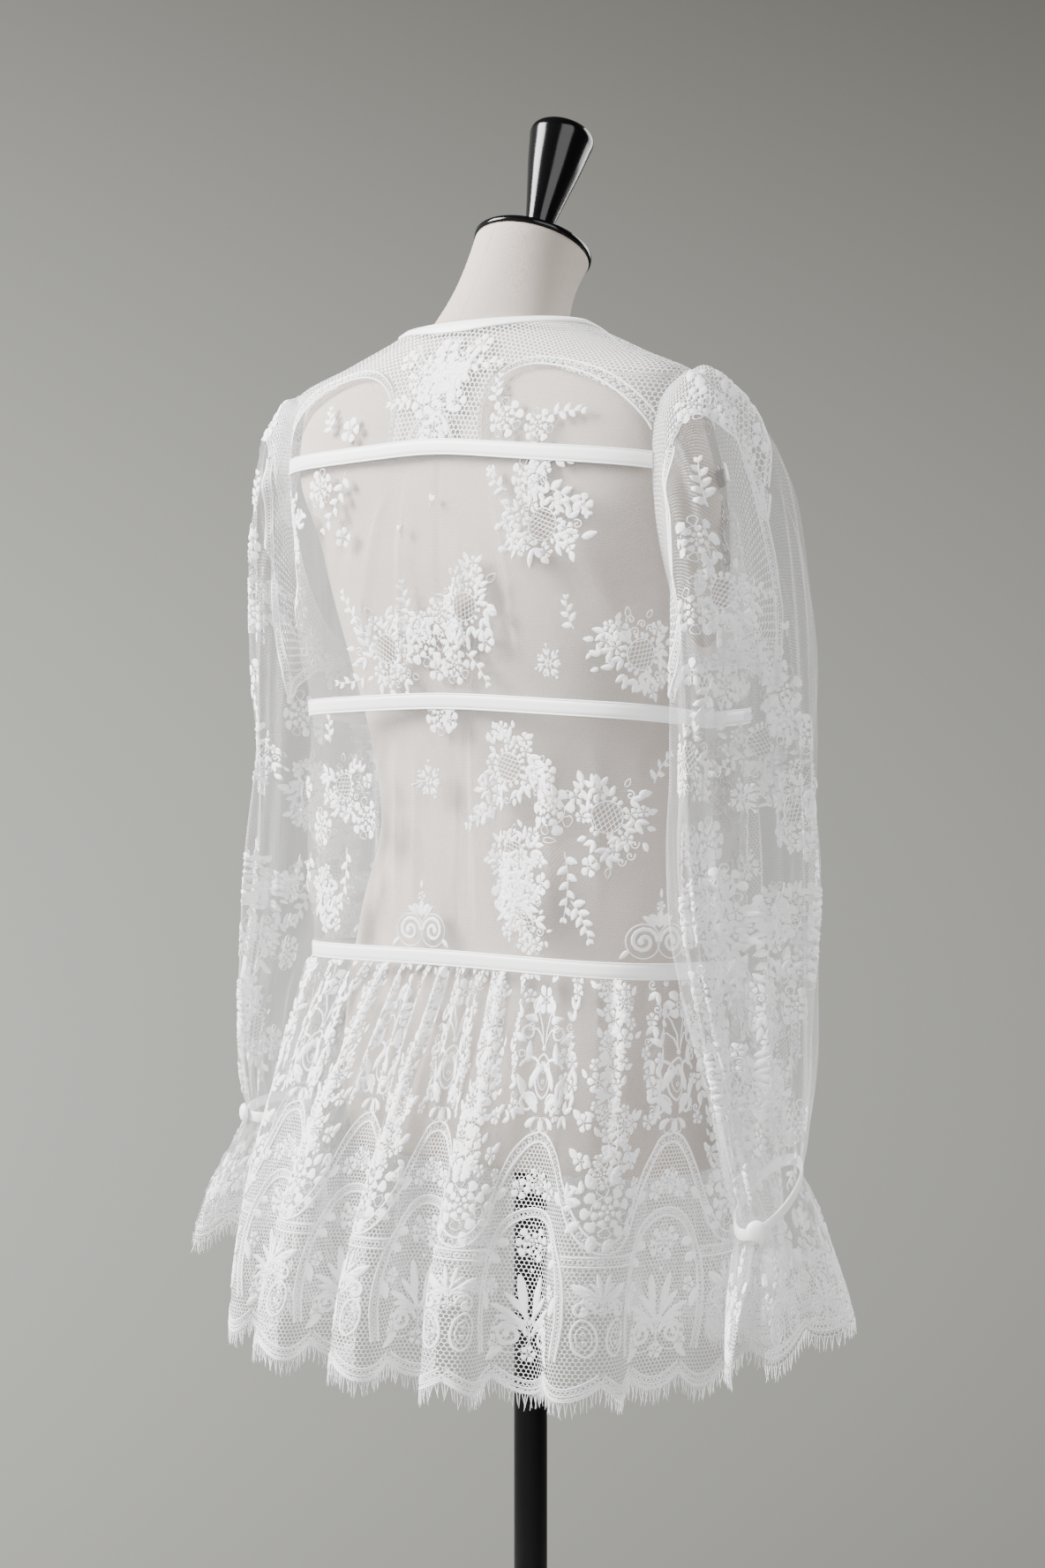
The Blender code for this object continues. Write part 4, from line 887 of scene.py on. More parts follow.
def make_mesh(name, points, faces, flat, finish_name, fields=None):
    """A mesh object from arrays: points, faces of four corners, flat metres and number fields."""
    data = bpy.data.meshes.new(name)
    corners = faces.ravel()
    data.vertices.add(len(points))
    data.vertices.foreach_set("co", np.asarray(points, np.float32).ravel())
    data.loops.add(len(corners))
    data.loops.foreach_set("vertex_index", corners.astype(np.int32))
    data.polygons.add(len(faces))
    data.polygons.foreach_set("loop_start", np.arange(0, len(corners), 4, dtype=np.int32))
    data.update(calc_edges=True)
    layer = data.uv_layers.new(name="flat")
    layer.data.foreach_set("uv", np.asarray(flat, np.float32)[corners].ravel())
    for label, values in (fields or {}).items():
        layer = data.attributes.new(label, "FLOAT", "POINT")
        layer.data.foreach_set("value", np.asarray(values, np.float32))
    data.validate()
    data.shade_smooth()
    data.materials.append(finish(finish_name))
    thing = bpy.data.objects.new(name, data)
    bpy.context.scene.collection.objects.link(thing)
    return thing


def grid_faces(rows, columns, ring=False):
    """Faces of a grid of points, seen from the side that u and v run right and up on."""
    i, k = np.meshgrid(np.arange(rows - 1), np.arange(columns if ring else columns - 1), indexing="ij")
    after = (k + 1) % columns
    corners = [i * columns + k, i * columns + after, (i + 1) * columns + after, (i + 1) * columns + k]
    return np.stack([c.ravel() for c in corners], axis=1)


def grid_flat(points):
    """Flat metres of a grid: lengths along its rows from the middle, and lengths up its columns."""
    across = np.linalg.norm(np.diff(points, axis=1), axis=2)
    up = np.linalg.norm(np.diff(points, axis=0), axis=2)
    x = np.concatenate([np.zeros((len(points), 1)), np.cumsum(across, axis=1)], axis=1)
    x -= x[:, [x.shape[1] // 2]]
    y = np.concatenate([np.zeros((1, points.shape[1])), np.cumsum(up, axis=0)])
    return np.stack([x, y], axis=-1)


def grid_mesh(name, points, finish_name, ring=False, flat=None, fields=None):
    """A mesh object from a grid of points, closed round its rows where it is a ring."""
    flat = grid_flat(points) if flat is None else flat
    faces = grid_faces(*points.shape[:2], ring)
    return make_mesh(name, points.reshape(-1, 3), faces, flat.reshape(-1, 2), finish_name, fields)


def carry(thing, slot, *nodes):
    """Puts a piece on the part's one body and hides the solids that it stands for. The finish's slot is not
    used.
    """
    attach(thing, "root")
    if nodes:
        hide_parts(*nodes)
    return thing


def lay(surface, grid, lift=0.0):
    """Points at a grid of u and v, lifted off the surface by one lift or a grid of them."""
    points, away = surface.read(*grid)
    return points + away * np.asarray(lift, float)[..., None]


def make_ground(name, surface, grid, fields=None, ring=False, cut=None, fold=1.0):
    """A panel's net: one open sheet on its surface. Cut gives the flat metres to a step of u and of v."""
    values = {label: of(*grid).ravel() for label, of in (fields or {}).items()}
    values["fold"] = surface.folds(*grid).ravel() * fold
    flat = None if cut is None else np.stack([grid[0] * cut[0], grid[1] * cut[1]], axis=-1)
    return grid_mesh(name, lay(surface, grid), "net", ring, flat, values)


def make_strip(name, surface, grid, lifts, ring=False):
    """A tape: rows across it given with their lifts, its long edges turned down to the cloth."""
    return grid_mesh(name, lay(surface, grid, np.array(lifts)[:, None] + 0 * grid[0]), "satin", ring)


# A tape's rows: how far across from its middle, as a share, and the lift. A groove runs by each edge.
TAPE_PROFILE = [(-1.0, 0.0), (-0.995, 0.0010), (-0.95, 0.0014), (-0.84, 0.0014), (-0.80, 0.00115)]
TAPE_PROFILE += [(-0.76, 0.00115), (-0.72, 0.0014), (-0.3, 0.0014), (0.0, 0.0014)]
TAPE_PROFILE += [(-across, lift) for across, lift in TAPE_PROFILE[-2::-1]]


def tape_levels(centre, low, high):
    """Levels across a tape that covers a seam, from its lower edge to its upper one."""
    return [between(centre, high if across > 0 else low, abs(across)) for across, _ in TAPE_PROFILE]


# A fringe's threads: their radius, and how thick they are at shares of the way down
STRAND_RADIUS = 0.00036
STRAND_GIRTHS = ((-0.10, 0.9), (0.3, 1.0), (0.7, 0.85), (1.0, 0.25))


def make_fringe(name, surface, u, v, count, length):
    """Short threads hanging from a scalloped edge, each with its own sway."""
    k = np.arange(count)
    at = (k + 0.5) / count * (len(u) - 1)
    root_u = np.interp(at, np.arange(len(u)), u)
    root_v = np.interp(at, np.arange(len(u)), v)
    roots, away = surface.read(root_u, root_v)
    after, _ = surface.read(root_u + (u[1] - u[0]) * 0.5, root_v)
    across = unit(after - roots)
    sway = 0.20 * np.sin(2.4 * k) + 0.12 * np.sin(5.1 * k + 1.0)
    out = 0.10 * np.sin(3.3 * k + 0.5)
    reach = length * (0.84 + 0.12 * np.sin(3.7 * k) + 0.04 * np.sin(1.3 * k))
    down = np.array([0, 0, -1.0]) + across * sway[:, None] + away * out[:, None]
    rings = []
    for share, girth in STRAND_GIRTHS:
        bent = across * (0.12 * sway * reach * share**2)[:, None]
        centre = roots + down * (reach * share)[:, None] + bent
        for turn in (0.0, 2.1, 4.2):
            aside = across * math.cos(turn) + away * math.sin(turn)
            rings.append(centre + aside * STRAND_RADIUS * girth)
    points = np.stack(rings, axis=1).reshape(-1, 3)
    sides = [(ring * 3 + side, ring * 3 + (side + 1) % 3) for ring in range(3) for side in range(3)]
    one = np.array([(a, a + 3, b + 3, b) for a, b in sides])
    faces = (one[None] + k[:, None, None] * 12).reshape(-1, 4)
    flat = np.array([[side * 0.001, ring * 0.003] for ring in range(4) for side in range(3)])
    return make_mesh(name, points, faces, np.tile(flat, (count, 1)), "lace")


def outward_of(place, u, v, step=1e-3):
    across = place(u + step, v) - place(u - step, v)
    up = place(u, v + step * 0.2) - place(u, v - step * 0.2)
    return unit(np.cross(across, up))


def form_place(u, v):
    """The dress form: its own sections below, and close under the cloth on the shoulders."""
    turn = -u
    own = section_point(FORM, turn, np.minimum(v, FORM[-1].height * CM))
    across_back = smoothstep(0.55, 0.9, np.cos(turn))
    gap = FORM_SHOULDER_GAP + (FORM_BACK_GAP - FORM_SHOULDER_GAP) * across_back
    high = np.maximum(v, FORM_MEETS_CLOTH[0])
    under = body_place(u, high) - outward_of(body_place, u, high) * gap[..., None]
    middle = column(BODY, "middle", high / CM) * CM
    slim = 1 - FORM_SHOULDER_SLIM * np.abs(np.sin(turn)) * (1 - smoothstep(1.345, 1.38, high))
    under[..., 0] *= slim
    under[..., 1] = middle + (under[..., 1] - middle) * slim
    share = smoothstep(*FORM_MEETS_CLOTH, v)
    own[..., 2] = np.where(v < FORM_MEETS_CLOTH[0], own[..., 2], under[..., 2])
    return own + (under - own) * share[..., None]


def plate_frame():
    """Where the neck plate lies: tilted forward, square to the neck."""
    return Matrix.Translation(Vector(PLATE_CENTRE)) @ Matrix.Rotation(NECK_TILT, 4, "X")


def neck_place(turn, rise):
    """The neck narrows and leans forward from its base up to the plate."""
    base = body_place(-turn, NECK_BASE_HEIGHT + 0 * turn)
    base_centre = np.array([0.0, 0.030, NECK_BASE_HEIGHT])
    slim = base_centre + (base - base_centre) * np.array([0.66, 0.96, 1.0])
    rim = PLATE_RADIUS * 0.97
    tilt = np.array(plate_frame().to_3x3())
    top = PLATE_CENTRE + np.stack([rim * np.sin(turn), rim * np.cos(turn), 0 * turn], axis=-1) @ tilt.T
    waist = 1 - 0.05 * math.sin(math.pi * rise)
    mixed = slim * (1 - rise) + top * rise
    centre = base_centre * (1 - rise) + PLATE_CENTRE * rise
    return centre + (mixed - centre) * waist


PRINCESS_TURNS = (0.0, 0.62, -0.62, 1.57, -1.57, 2.45, -2.45, math.pi)
FORM_ROWS = 120
FORM_COLUMNS = 128
FORM_TOP = 1.377
# Metres to one radian of the torso, and its sewn seams' width and depth
FORM_BREADTH = 0.14
FORM_SEAM_WIDTH = 0.0016
FORM_SEAM_DEPTH = 0.0007


def make_form():
    """The linen-covered torso and neck, with its sewn seams drawn in a little."""
    turns = np.linspace(0, -2 * math.pi, FORM_COLUMNS + 1)[:-1]
    heights = np.linspace(FORM_BOTTOM, FORM_TOP, FORM_ROWS)
    u, v = np.meshgrid(-turns, heights)
    body = form_place(u, v)
    round_foot = 1 - 0.03 * (1 - smoothstep(FORM_BOTTOM, FORM_BOTTOM + 0.007, v))
    body[..., :2] *= round_foot[..., None]
    seam = np.zeros_like(u)
    for turn in PRINCESS_TURNS:
        seam += np.exp(-((round_turn(u + turn) * FORM_BREADTH / FORM_SEAM_WIDTH) ** 2))
    away = outward_of(form_place, u, v)
    body = body - away * (FORM_SEAM_DEPTH * seam)[..., None]
    neck = np.array([neck_place(turns, rise) for rise in np.linspace(0.06, 1.0, 24)])
    rows = settled(np.concatenate([body, neck]))
    inner = [rows[0] * np.array([s, s, 1]) + np.array([0, 0, 0.0006]) for s in (0.9, 0.5, 0.1)][::-1]
    cap = [rows[-1] + (rows[-1].mean(axis=0) - rows[-1]) * s for s in (0.4, 0.9)]
    thing = grid_mesh("torso_form_cover", np.concatenate([inner, rows, cap]), "linen", ring=True)
    carry(thing, "linen", "torso_form")


def smooth_line(points, padded, parts):
    """A curve through points, in parts to each stretch. Padded has one more point at each end."""
    fine = [points[0]]
    for a, b, c, d in zip(padded, padded[1:], padded[2:], padded[3:]):
        for t in np.linspace(0, 1, parts + 1)[1:]:
            bent = (2 * a - 5 * b + 4 * c - d) * t**2 + (3 * b - a - 3 * c + d) * t**3
            fine.append((2 * b + (c - a) * t + bent) / 2)
    return np.array(fine)


def smooth_profile(profile, parts):
    """A profile of radius and height with points added on smooth curves."""
    return smooth_line(profile, np.concatenate([profile[:1], profile, profile[-1:]]), parts)


def turned_piece(name, profile, finish_name, sides, place=None):
    """A turned piece from radius and height points, listed from its top down."""
    turns = np.linspace(0, 2 * math.pi, sides, endpoint=False)
    radius, height = np.hsplit(profile, 2)
    grid = np.stack([radius * np.cos(turns), radius * np.sin(turns), height + 0 * turns], axis=-1)
    thing = grid_mesh(name, grid[::-1], finish_name, ring=True)
    if place is not None:
        thing.data.transform(place)
    return thing


# Profiles of radius and height, listed from the top down
PLATE_PROFILE = MM * np.array([
    (0.5, 5.0), (30.0, 5.0), (44.0, 5.0), (45.2, 4.7), (46.0, 3.8),
    (46.0, 1.2), (45.5, 0.4), (44.6, 0.0), (30.0, 0.0), (0.5, 0.0),
])
FINIAL_PROFILE = MM * np.array([
    (0.4, 103.0), (9.5, 102.85), (17.5, 102.4), (23.4, 99.5), (25.3, 94.8), (24.2, 87.6), (21.2, 70.0),
    (17.7, 53.0), (14.0, 35.0), (10.9, 19.0), (10.0, 14.5), (16.3, 12.6), (19.2, 7.8), (18.3, 3.0),
    (15.3, 0.0), (0.4, 0.0),
])
POLE_PROFILE = MM * np.array([(12.5, 764.7), (12.7, 764.0), (12.7, 400.0), (12.7, 40.8), (12.5, 40.3)])
BASE_PROFILE = MM * np.array([
    (12.8, 40.3), (18.5, 40.0), (20.5, 39.2), (21.0, 37.0), (21.0, 14.0), (21.6, 11.6), (24.0, 10.3),
    (60.0, 10.0), (157.0, 10.0), (159.2, 9.4), (160.0, 7.8), (160.0, 1.6), (159.4, 0.4), (158.0, 0.0),
    (0.5, 0.0),
])
BUTTON_PROFILE = MM * np.array([
    (0.2, 6.0), (3.8, 5.7), (6.4, 4.4), (7.5, 2.5), (6.9, 1.1), (4.1, 0.0), (0.2, 0.0),
])


def seat(lift):
    """The matrix of a piece that stands on the neck."""
    place = plate_frame() @ Matrix.Translation((0, 0, lift))
    place.translation.z = settled(place.translation)[2]
    return place


def make_neck_top():
    plate = turned_piece("neck_plate_gloss", PLATE_PROFILE, "lacquer", 96, seat(2 * SEAM_GAP))
    place = seat(PLATE_HEIGHT + 3 * SEAM_GAP)
    finial = turned_piece("finial_gloss", smooth_profile(FINIAL_PROFILE, 4), "lacquer", 72, place)
    carry(plate, "black_lacquer", "neck_plate")
    carry(finial, "black_lacquer", "finial")


def make_stand():
    carry(turned_piece("pole_tube", POLE_PROFILE, "steel", 48), "black_steel", "pole")
    carry(turned_piece("base_plate", BASE_PROFILE, "steel", 128), "black_steel", "base")


class Relief:
    """Raised lace on one surface of cloth: cords and petals gathered as arrays and joined in one mesh."""

    def __init__(self, surface, inside, cut=None):
        self.surface = surface
        self.inside = inside
        self.cut = cut
        self.blocks = []
        self.windows = []
        self.count = 0

    def metric(self, u, v):
        return self.surface.metric(u, v) if self.cut is None else self.cut

    def add(self, places, flat, heights, faces):
        self.blocks.append((places, flat, heights, faces + self.count))
        self.count += len(places)

    def build(self, name):
        places, flat, heights, faces = (np.concatenate(part) for part in zip(*self.blocks))
        middle = places[faces].mean(axis=1)
        faces = faces[self.inside(middle[:, 0], middle[:, 1])]
        used, faces = np.unique(faces, return_inverse=True)
        points = lay(self.surface, places[used].T, RELIEF_LIFT + heights[used] * settings().relief)
        return make_mesh(name, points, faces.reshape(-1, 4), flat[used], "lace")

    def clear(self, u, v):
        """How far each place lies inside a window, in metres. Negative outside."""
        inside = np.full(u.shape, -0.01)
        for anchor, back, radius in self.windows:
            off_u = u - anchor[0]
            if self.surface.ring:
                span = self.surface.u[-1] - self.surface.u[0]
                off_u = np.remainder(off_u + span / 2, span) - span / 2
            off = np.stack([off_u, v - anchor[1]], axis=-1) @ back.T
            inside = np.maximum(inside, radius - np.hypot(off[..., 0], off[..., 1]))
        return inside


RELIEF_LIFT = 0.0003
# Where a leaf or petal is widest, how round it is, and how broad its tip is
LEAF = (0.85, 0.70, 0.02)
PETAL = (1.55, 0.50, 0.16)
PETAL_ALONG = np.array([0.0, 0.10, 0.32, 0.60, 0.88, 1.0])[:, None]
SMALL_ALONG = np.array([0.0, 0.16, 0.52, 0.88, 1.0])[:, None]
SMALL_PETAL = 0.0078
PETAL_ACROSS = np.array([-1.0, -0.78, 0.0, 0.78, 1.0])
PETAL_HEIGHTS = np.array([0.0, 1.0, 0.42, 1.0, 0.0])
CORD_ACROSS = np.array([-1.0, 0.0, 1.0])
CORD_HEIGHTS = np.array([0.0, 1.0, 0.0])
BAND_WIDTH = 0.0016
PATH_STEP = 0.0028
LATTICE_GAP = 0.0031

# The room that one tuft of a bed of lace takes, and a wreath's window as a share of its radius
BED_STEP = 0.0082
WREATH_WINDOW = 0.40


def spin(turn):
    return np.array([[math.cos(turn), -math.sin(turn)], [math.sin(turn), math.cos(turn)]])


def beside_path(path, closed=False):
    """Directions square to a path, to its right."""
    way = np.roll(path, -1, axis=0) - np.roll(path, 1, axis=0) if closed else np.gradient(path, axis=0)
    beside = np.stack([way[:, 1], -way[:, 0]], axis=1)
    return beside / np.maximum(np.linalg.norm(beside, axis=1, keepdims=True), 1e-9)


class Pen:
    """Draws raised lace at one place of a relief, in metres: x to the right and y up the cloth."""

    def __init__(self, relief, u, v, turn=0.0, flip=1.0):
        self.relief = relief
        self.anchor = np.array([u, v])
        self.metric = relief.metric(u, v)
        self.origin = np.zeros(2)
        self.frame = spin(turn) @ np.diag([flip, 1.0])
        self.lift = 1.0

    def at(self, x, y, turn=0.0, flip=1.0, lift=1.0):
        other = Pen.__new__(Pen)
        other.relief, other.anchor, other.metric = self.relief, self.anchor, self.metric
        other.origin = self.origin + self.frame @ np.array([x, y])
        other.frame = self.frame @ spin(turn) @ np.diag([flip, 1.0])
        other.lift = self.lift * lift
        return other

    def round(self, radius, turn, **how):
        """A pen on a circle, its y pointing outward. Turn 0 is to the right."""
        return self.at(radius * math.cos(turn), radius * math.sin(turn), turn - math.pi / 2, **how)

    def lay(self, x, y, heights, closed=False):
        """Lays a grid of points: rows along it and columns across it."""
        rows, columns = x.shape
        flat = np.stack([x.ravel(), y.ravel()], axis=1) @ self.frame.T + self.origin
        i, k = np.meshgrid(np.arange(rows if closed else rows - 1), np.arange(columns - 1), indexing="ij")
        after = (i + 1) % rows
        corners = [i * columns + k, i * columns + k + 1, after * columns + k + 1, after * columns + k]
        if np.linalg.det(self.frame) < 0:
            corners = corners[::-1]
        faces = np.stack([c.ravel() for c in corners], axis=1)
        places = self.anchor + flat @ self.metric.T
        self.relief.add(places, flat, heights.ravel() * self.lift, faces)

    def petal(self, length, width, bend=0.0, full=LEAF, filled=True):
        """A petal or leaf along the pen's y. Full is LEAF or PETAL. One not filled is an outline."""
        small = length < SMALL_PETAL
        along = SMALL_ALONG if small else PETAL_ALONG
        across, rise = (CORD_ACROSS, CORD_HEIGHTS) if small else (PETAL_ACROSS, PETAL_HEIGHTS)
        half = width / 2 * np.sin(math.pi * along ** full[0]) ** full[1]
        half[0] = half[-1] = width * full[2]
        spine = bend * length * along**2
        if not filled:
            sides = [np.concatenate([spine + side * half, length * along], axis=1) for side in (1, -1)]
            self.cord(np.concatenate([sides[0], sides[1][::-1]]), 0.0007, 1.0, True)
            return
        ends = np.abs(2 * along - 1) ** 5
        heights = (rise * (1 - ends) + 0.9 * ends * (rise > 0)) + 0 * half
        heights[0] = heights[-1] = 0.3
        self.lay(across * half + spine, length * along + 0 * across, heights)

    def petals(self, count, start, length, breadth, turn=0.0, full=PETAL, lift=1.0, open_share=0.0, seed=0):
        """A round of petals about the pen's place. Breadth is a share of each one's room."""
        chance = random.Random(seed)
        width = 2 * math.pi * (start + length * 0.6) / count * breadth
        for k in range(count):
            way = turn + 2 * math.pi * (k + chance.uniform(-0.06, 0.06)) / count
            reach = length * chance.uniform(0.88, 1.08)
            self.round(start, way, lift=lift).petal(reach, width, 0.0, full, chance.random() >= open_share)

    def cord(self, path, width=0.0009, height=1.0, closed=False):
        """A cord along a path of points. A wide one is a band with raised edges."""
        path = np.asarray(path, float)
        beside = beside_path(path, closed)
        across, rise = (PETAL_ACROSS, PETAL_HEIGHTS) if width > BAND_WIDTH else (CORD_ACROSS, CORD_HEIGHTS)
        x = path[:, :1] + beside[:, :1] * across * width / 2
        y = path[:, 1:] + beside[:, 1:] * across * width / 2
        self.lay(x, y, rise * height + 0 * x, closed)

    def ring(self, radius, width=0.0008, height=1.0, sides=12):
        turns = np.linspace(0, 2 * math.pi, sides, endpoint=False)
        self.cord(radius * np.stack([np.cos(turns), np.sin(turns)], axis=1), width, height, True)

    def dot(self, radius, height=1.2):
        turns = np.linspace(0, 2 * math.pi, 7, endpoint=False)[:, None]
        reach = radius * np.array([1.0, 0.6, 0.02])
        heights = height * np.array([0, 0.8, 1.0]) + 0 * turns
        self.lay(reach * np.cos(turns), reach * np.sin(turns), heights, True)

    def arch(self, radius, first, last, width):
        turns = np.linspace(first, last, 14)
        self.cord(radius * np.stack([np.cos(turns), np.sin(turns)], axis=1), width)

    def spiral(self, radius, turns=1.4, width=0.0014, first=math.pi):
        """A scroll that starts at the pen's place and curls in to its right."""
        share = np.linspace(0, 1, int(9 * turns) + 5)
        reach = radius * (1 - 0.80 * share)
        angle = first - 2 * math.pi * turns * share
        path = np.stack([radius + reach * np.cos(angle), reach * np.sin(angle)], axis=1)
        self.cord(path, width)
        self.at(*path[-1]).dot(width * 0.9)

    def lattice(self, radius):
        """A window of crossing threads, where the net is cut away."""
        for lean in (0.98, -0.98):
            way = np.array([math.sin(lean), math.cos(lean)])
            beside = np.array([way[1], -way[0]])
            count = int(radius / LATTICE_GAP)
            for off in np.arange(-count, count + 1) * LATTICE_GAP:
                half = math.sqrt(max(0.0, radius**2 - off**2))
                if half > LATTICE_GAP / 2:
                    self.cord([beside * off + way * half * t for t in (-1, 0, 1)], 0.00055, 0.45)
        anchor = self.anchor + self.metric @ self.origin
        self.relief.windows.append((anchor, np.linalg.inv(self.metric), radius))

    def flower(self, radius, petals=5, turn=0.0, lift=1.15):
        """A small open flower with a ringed eye."""
        self.petals(petals, radius * 0.30, radius * 0.70, 0.88, turn, PETAL, lift, 0.0, petals)
        self.at(0, 0, lift=lift).ring(radius * 0.20, radius * 0.10, sides=8)

    def rose(self, radius, turn=0.0):
        """A full rose: three rounds of broad petals about a small eye."""
        self.petals(9, radius * 0.60, radius * 0.40, 0.84, turn, PETAL, 1.0, 0.12, 1)
        self.petals(7, radius * 0.33, radius * 0.25, 0.82, turn + 0.3, PETAL, 1.1, 0.0, 2)
        self.petals(5, radius * 0.12, radius * 0.19, 0.84, turn + 0.6, PETAL, 1.2, 0.0, 3)
        self.ring(radius * 0.585, 0.0006, 0.7, sides=18)
        self.dot(radius * 0.07)

    def bud(self, size):
        self.cord([(0, 0), (0.0003, size * 0.5), (0, size * 0.6)], 0.0008)
        for bend in (-0.25, 0.25):
            self.at(0, size * 0.45, -bend * 1.6).petal(size * 0.6, size * 0.42, bend * 0.5)

    def leafy(self, length, leaves=7, leaf=0.009, bend=0.25, wide=0.60):
        """A curved stem with leaves to both sides and a bud at its end."""
        share = np.linspace(0, 1, 9)
        path = np.stack([bend * length * share**2, length * share], axis=1)
        self.cord(path, 0.0011, 1.1)
        for k in range(leaves):
            t = 0.12 + 0.80 * k / max(1, leaves - 1)
            side = 1 if k % 2 else -1
            lean = -side * (0.95 - 0.35 * t) - math.atan(2 * bend * t)
            size = leaf * (1.08 - 0.35 * t)
            self.at(bend * length * t**2, length * t, lean).petal(size, size * wide, side * 0.12)
        self.at(bend * length, length, -math.atan(2 * bend)).bud(leaf * 0.85)

    def wreath(self, radius, seed=0):
        """A lattice window in a lobed bed of little flowers, leaves and curls, with leaves about it."""
        chance = random.Random(seed)
        inner = radius * WREATH_WINDOW
        lobes = [chance.uniform(0, 6.28) for _ in range(3)]
        off = (radius * 0.12 * math.cos(lobes[2]), radius * 0.12 * math.sin(lobes[2]))

        def reach(way):
            return radius * (1 + 0.15 * math.sin(2 * way + lobes[0]) + 0.10 * math.sin(3 * way + lobes[1]))

        window = self.at(*off)
        window.lattice(inner * 1.02)
        window.ring(inner, 0.0009, 1.1, sides=20)
        for k in range(15):
            way = 2 * math.pi * (k + chance.uniform(-0.2, 0.2)) / 15
            place = window.round(inner, way).at(0, 0, chance.uniform(-0.5, 0.5))
            place.petal(inner * 0.40, inner * 0.33, 0, PETAL)
        count = int(radius * 1.3 / BED_STEP)
        for i in range(-count, count + 1):
            for k in range(-count, count + 1):
                x = (k + 0.5 * (i % 2) + chance.uniform(-0.2, 0.2)) * BED_STEP
                y = (i * 0.87 + chance.uniform(-0.2, 0.2)) * BED_STEP
                far, way = math.hypot(x, y), math.atan2(y, x)
                from_window = math.hypot(x - off[0], y - off[1])
                if far < reach(way) and from_window > inner * 1.42 and chance.random() > 0.05:
                    self.at(x, y, way - math.pi / 2 + chance.uniform(-0.9, 0.9)).tuft(chance)
        for k in range(13):
            way = 2 * math.pi * (k + chance.uniform(-0.35, 0.35)) / 13
            if chance.random() < 0.85:
                size = radius * chance.uniform(0.20, 0.34)
                place = self.round(reach(way), way).at(0, 0, chance.uniform(-0.6, 0.6))
                place.petal(size, size * 0.62, chance.uniform(-0.3, 0.3), LEAF, chance.random() > 0.3)

    def tuft(self, chance):
        """One small piece of a bed of lace: a flower, a curl or a pair of leaves."""
        pick = chance.random()
        if pick < 0.42:
            self.flower(BED_STEP * chance.uniform(0.54, 0.74), 5)
        elif pick < 0.58:
            self.at(-0.003, 0).spiral(BED_STEP * 0.44, 1.1, 0.0010)
        else:
            for lean in (-0.6, 0.6):
                leaf = self.at(0, -BED_STEP * 0.4, lean)
                leaf.petal(BED_STEP * chance.uniform(1.0, 1.3), BED_STEP * 0.55, lean * 0.2)

    def star(self, size):
        """A loose sprig: short stems that end in small leaves and knots."""
        for k, reach in enumerate((1.0, 0.72, 0.9, 0.7, 0.95, 0.66, 0.85)):
            way = math.pi / 2 + 2 * math.pi * k / 7
            arm = self.round(size * 0.08, way)
            arm.cord([(0, 0), (size * 0.06, size * 0.4), (0, size * 0.8 * reach)], 0.0009)
            arm.at(0, size * 0.30 * reach, 0.5).petal(size * 0.42, size * 0.20)
            arm.at(0, size * 0.30 * reach, -0.5).petal(size * 0.36, size * 0.18)
            arm.at(0, size * 0.82 * reach).dot(size * 0.09)
        self.flower(size * 0.22, 5, 0.3, 1.3)

    def palmette(self, size):
        """A middle leaf and two pairs that curl away from it, over two scrolls and their leaves."""
        leaves = ((0.66, 0.20, 0.0, 0.0), (0.50, 0.17, 0.52, 0.32), (0.36, 0.15, 1.05, 0.45))
        for reach, wide, lean, curl in leaves:
            for flip in (1, -1) if lean else (1,):
                leaf = self.at(flip * size * lean * 0.07, size * (0.24 - lean * 0.05), -flip * lean)
                for side in (1, -1):
                    half = leaf.at(side * size * wide * 0.26, 0, -side * 0.10)
                    half.petal(size * reach, size * wide * 0.62, side * 0.06 + flip * curl, PETAL)
        self.at(0, size * 0.96).dot(size * 0.03)
        for flip in (1, -1):
            curl = self.at(flip * size * 0.04, size * 0.08, flip=flip)
            curl.spiral(size * 0.20, 1.5, max(0.0016, size * 0.055))
            self.at(flip * size * 0.24, size * 0.08).ring(size * 0.25, 0.0008, 0.8, sides=20)
            leaf = self.at(flip * size * 0.34, -size * 0.14, -flip * 1.9)
            leaf.petal(size * 0.26, size * 0.12, flip * 0.2)
        self.at(0, -size * 0.16).flower(size * 0.11, 5)

    def mass(self, size, seed=0):
        """A thick bed of little flowers, curls and leaves, longer than it is wide."""
        chance = random.Random(seed)
        for i in range(-int(size / BED_STEP), int(size / BED_STEP) + 1):
            for k in range(-int(size * 0.62 / BED_STEP), int(size * 0.62 / BED_STEP) + 1):
                x = (k + 0.5 * (i % 2) + chance.uniform(-0.22, 0.22)) * BED_STEP
                y = (i * 0.87 + chance.uniform(-0.22, 0.22)) * BED_STEP
                if (x / 0.62) ** 2 + y**2 < (size * chance.uniform(0.80, 1.08)) ** 2:
                    self.at(x, y, chance.uniform(0, 6.28)).tuft(chance)

    def fan(self, size):
        """Outlined petals that spread from a small eye."""
        for k in range(-3, 4):
            place = self.round(size * 0.16, math.pi / 2 + k * 0.42)
            place.petal(size * 0.84, size * 0.27, 0.0, PETAL, False)
        self.ring(size * 0.13, 0.0010)

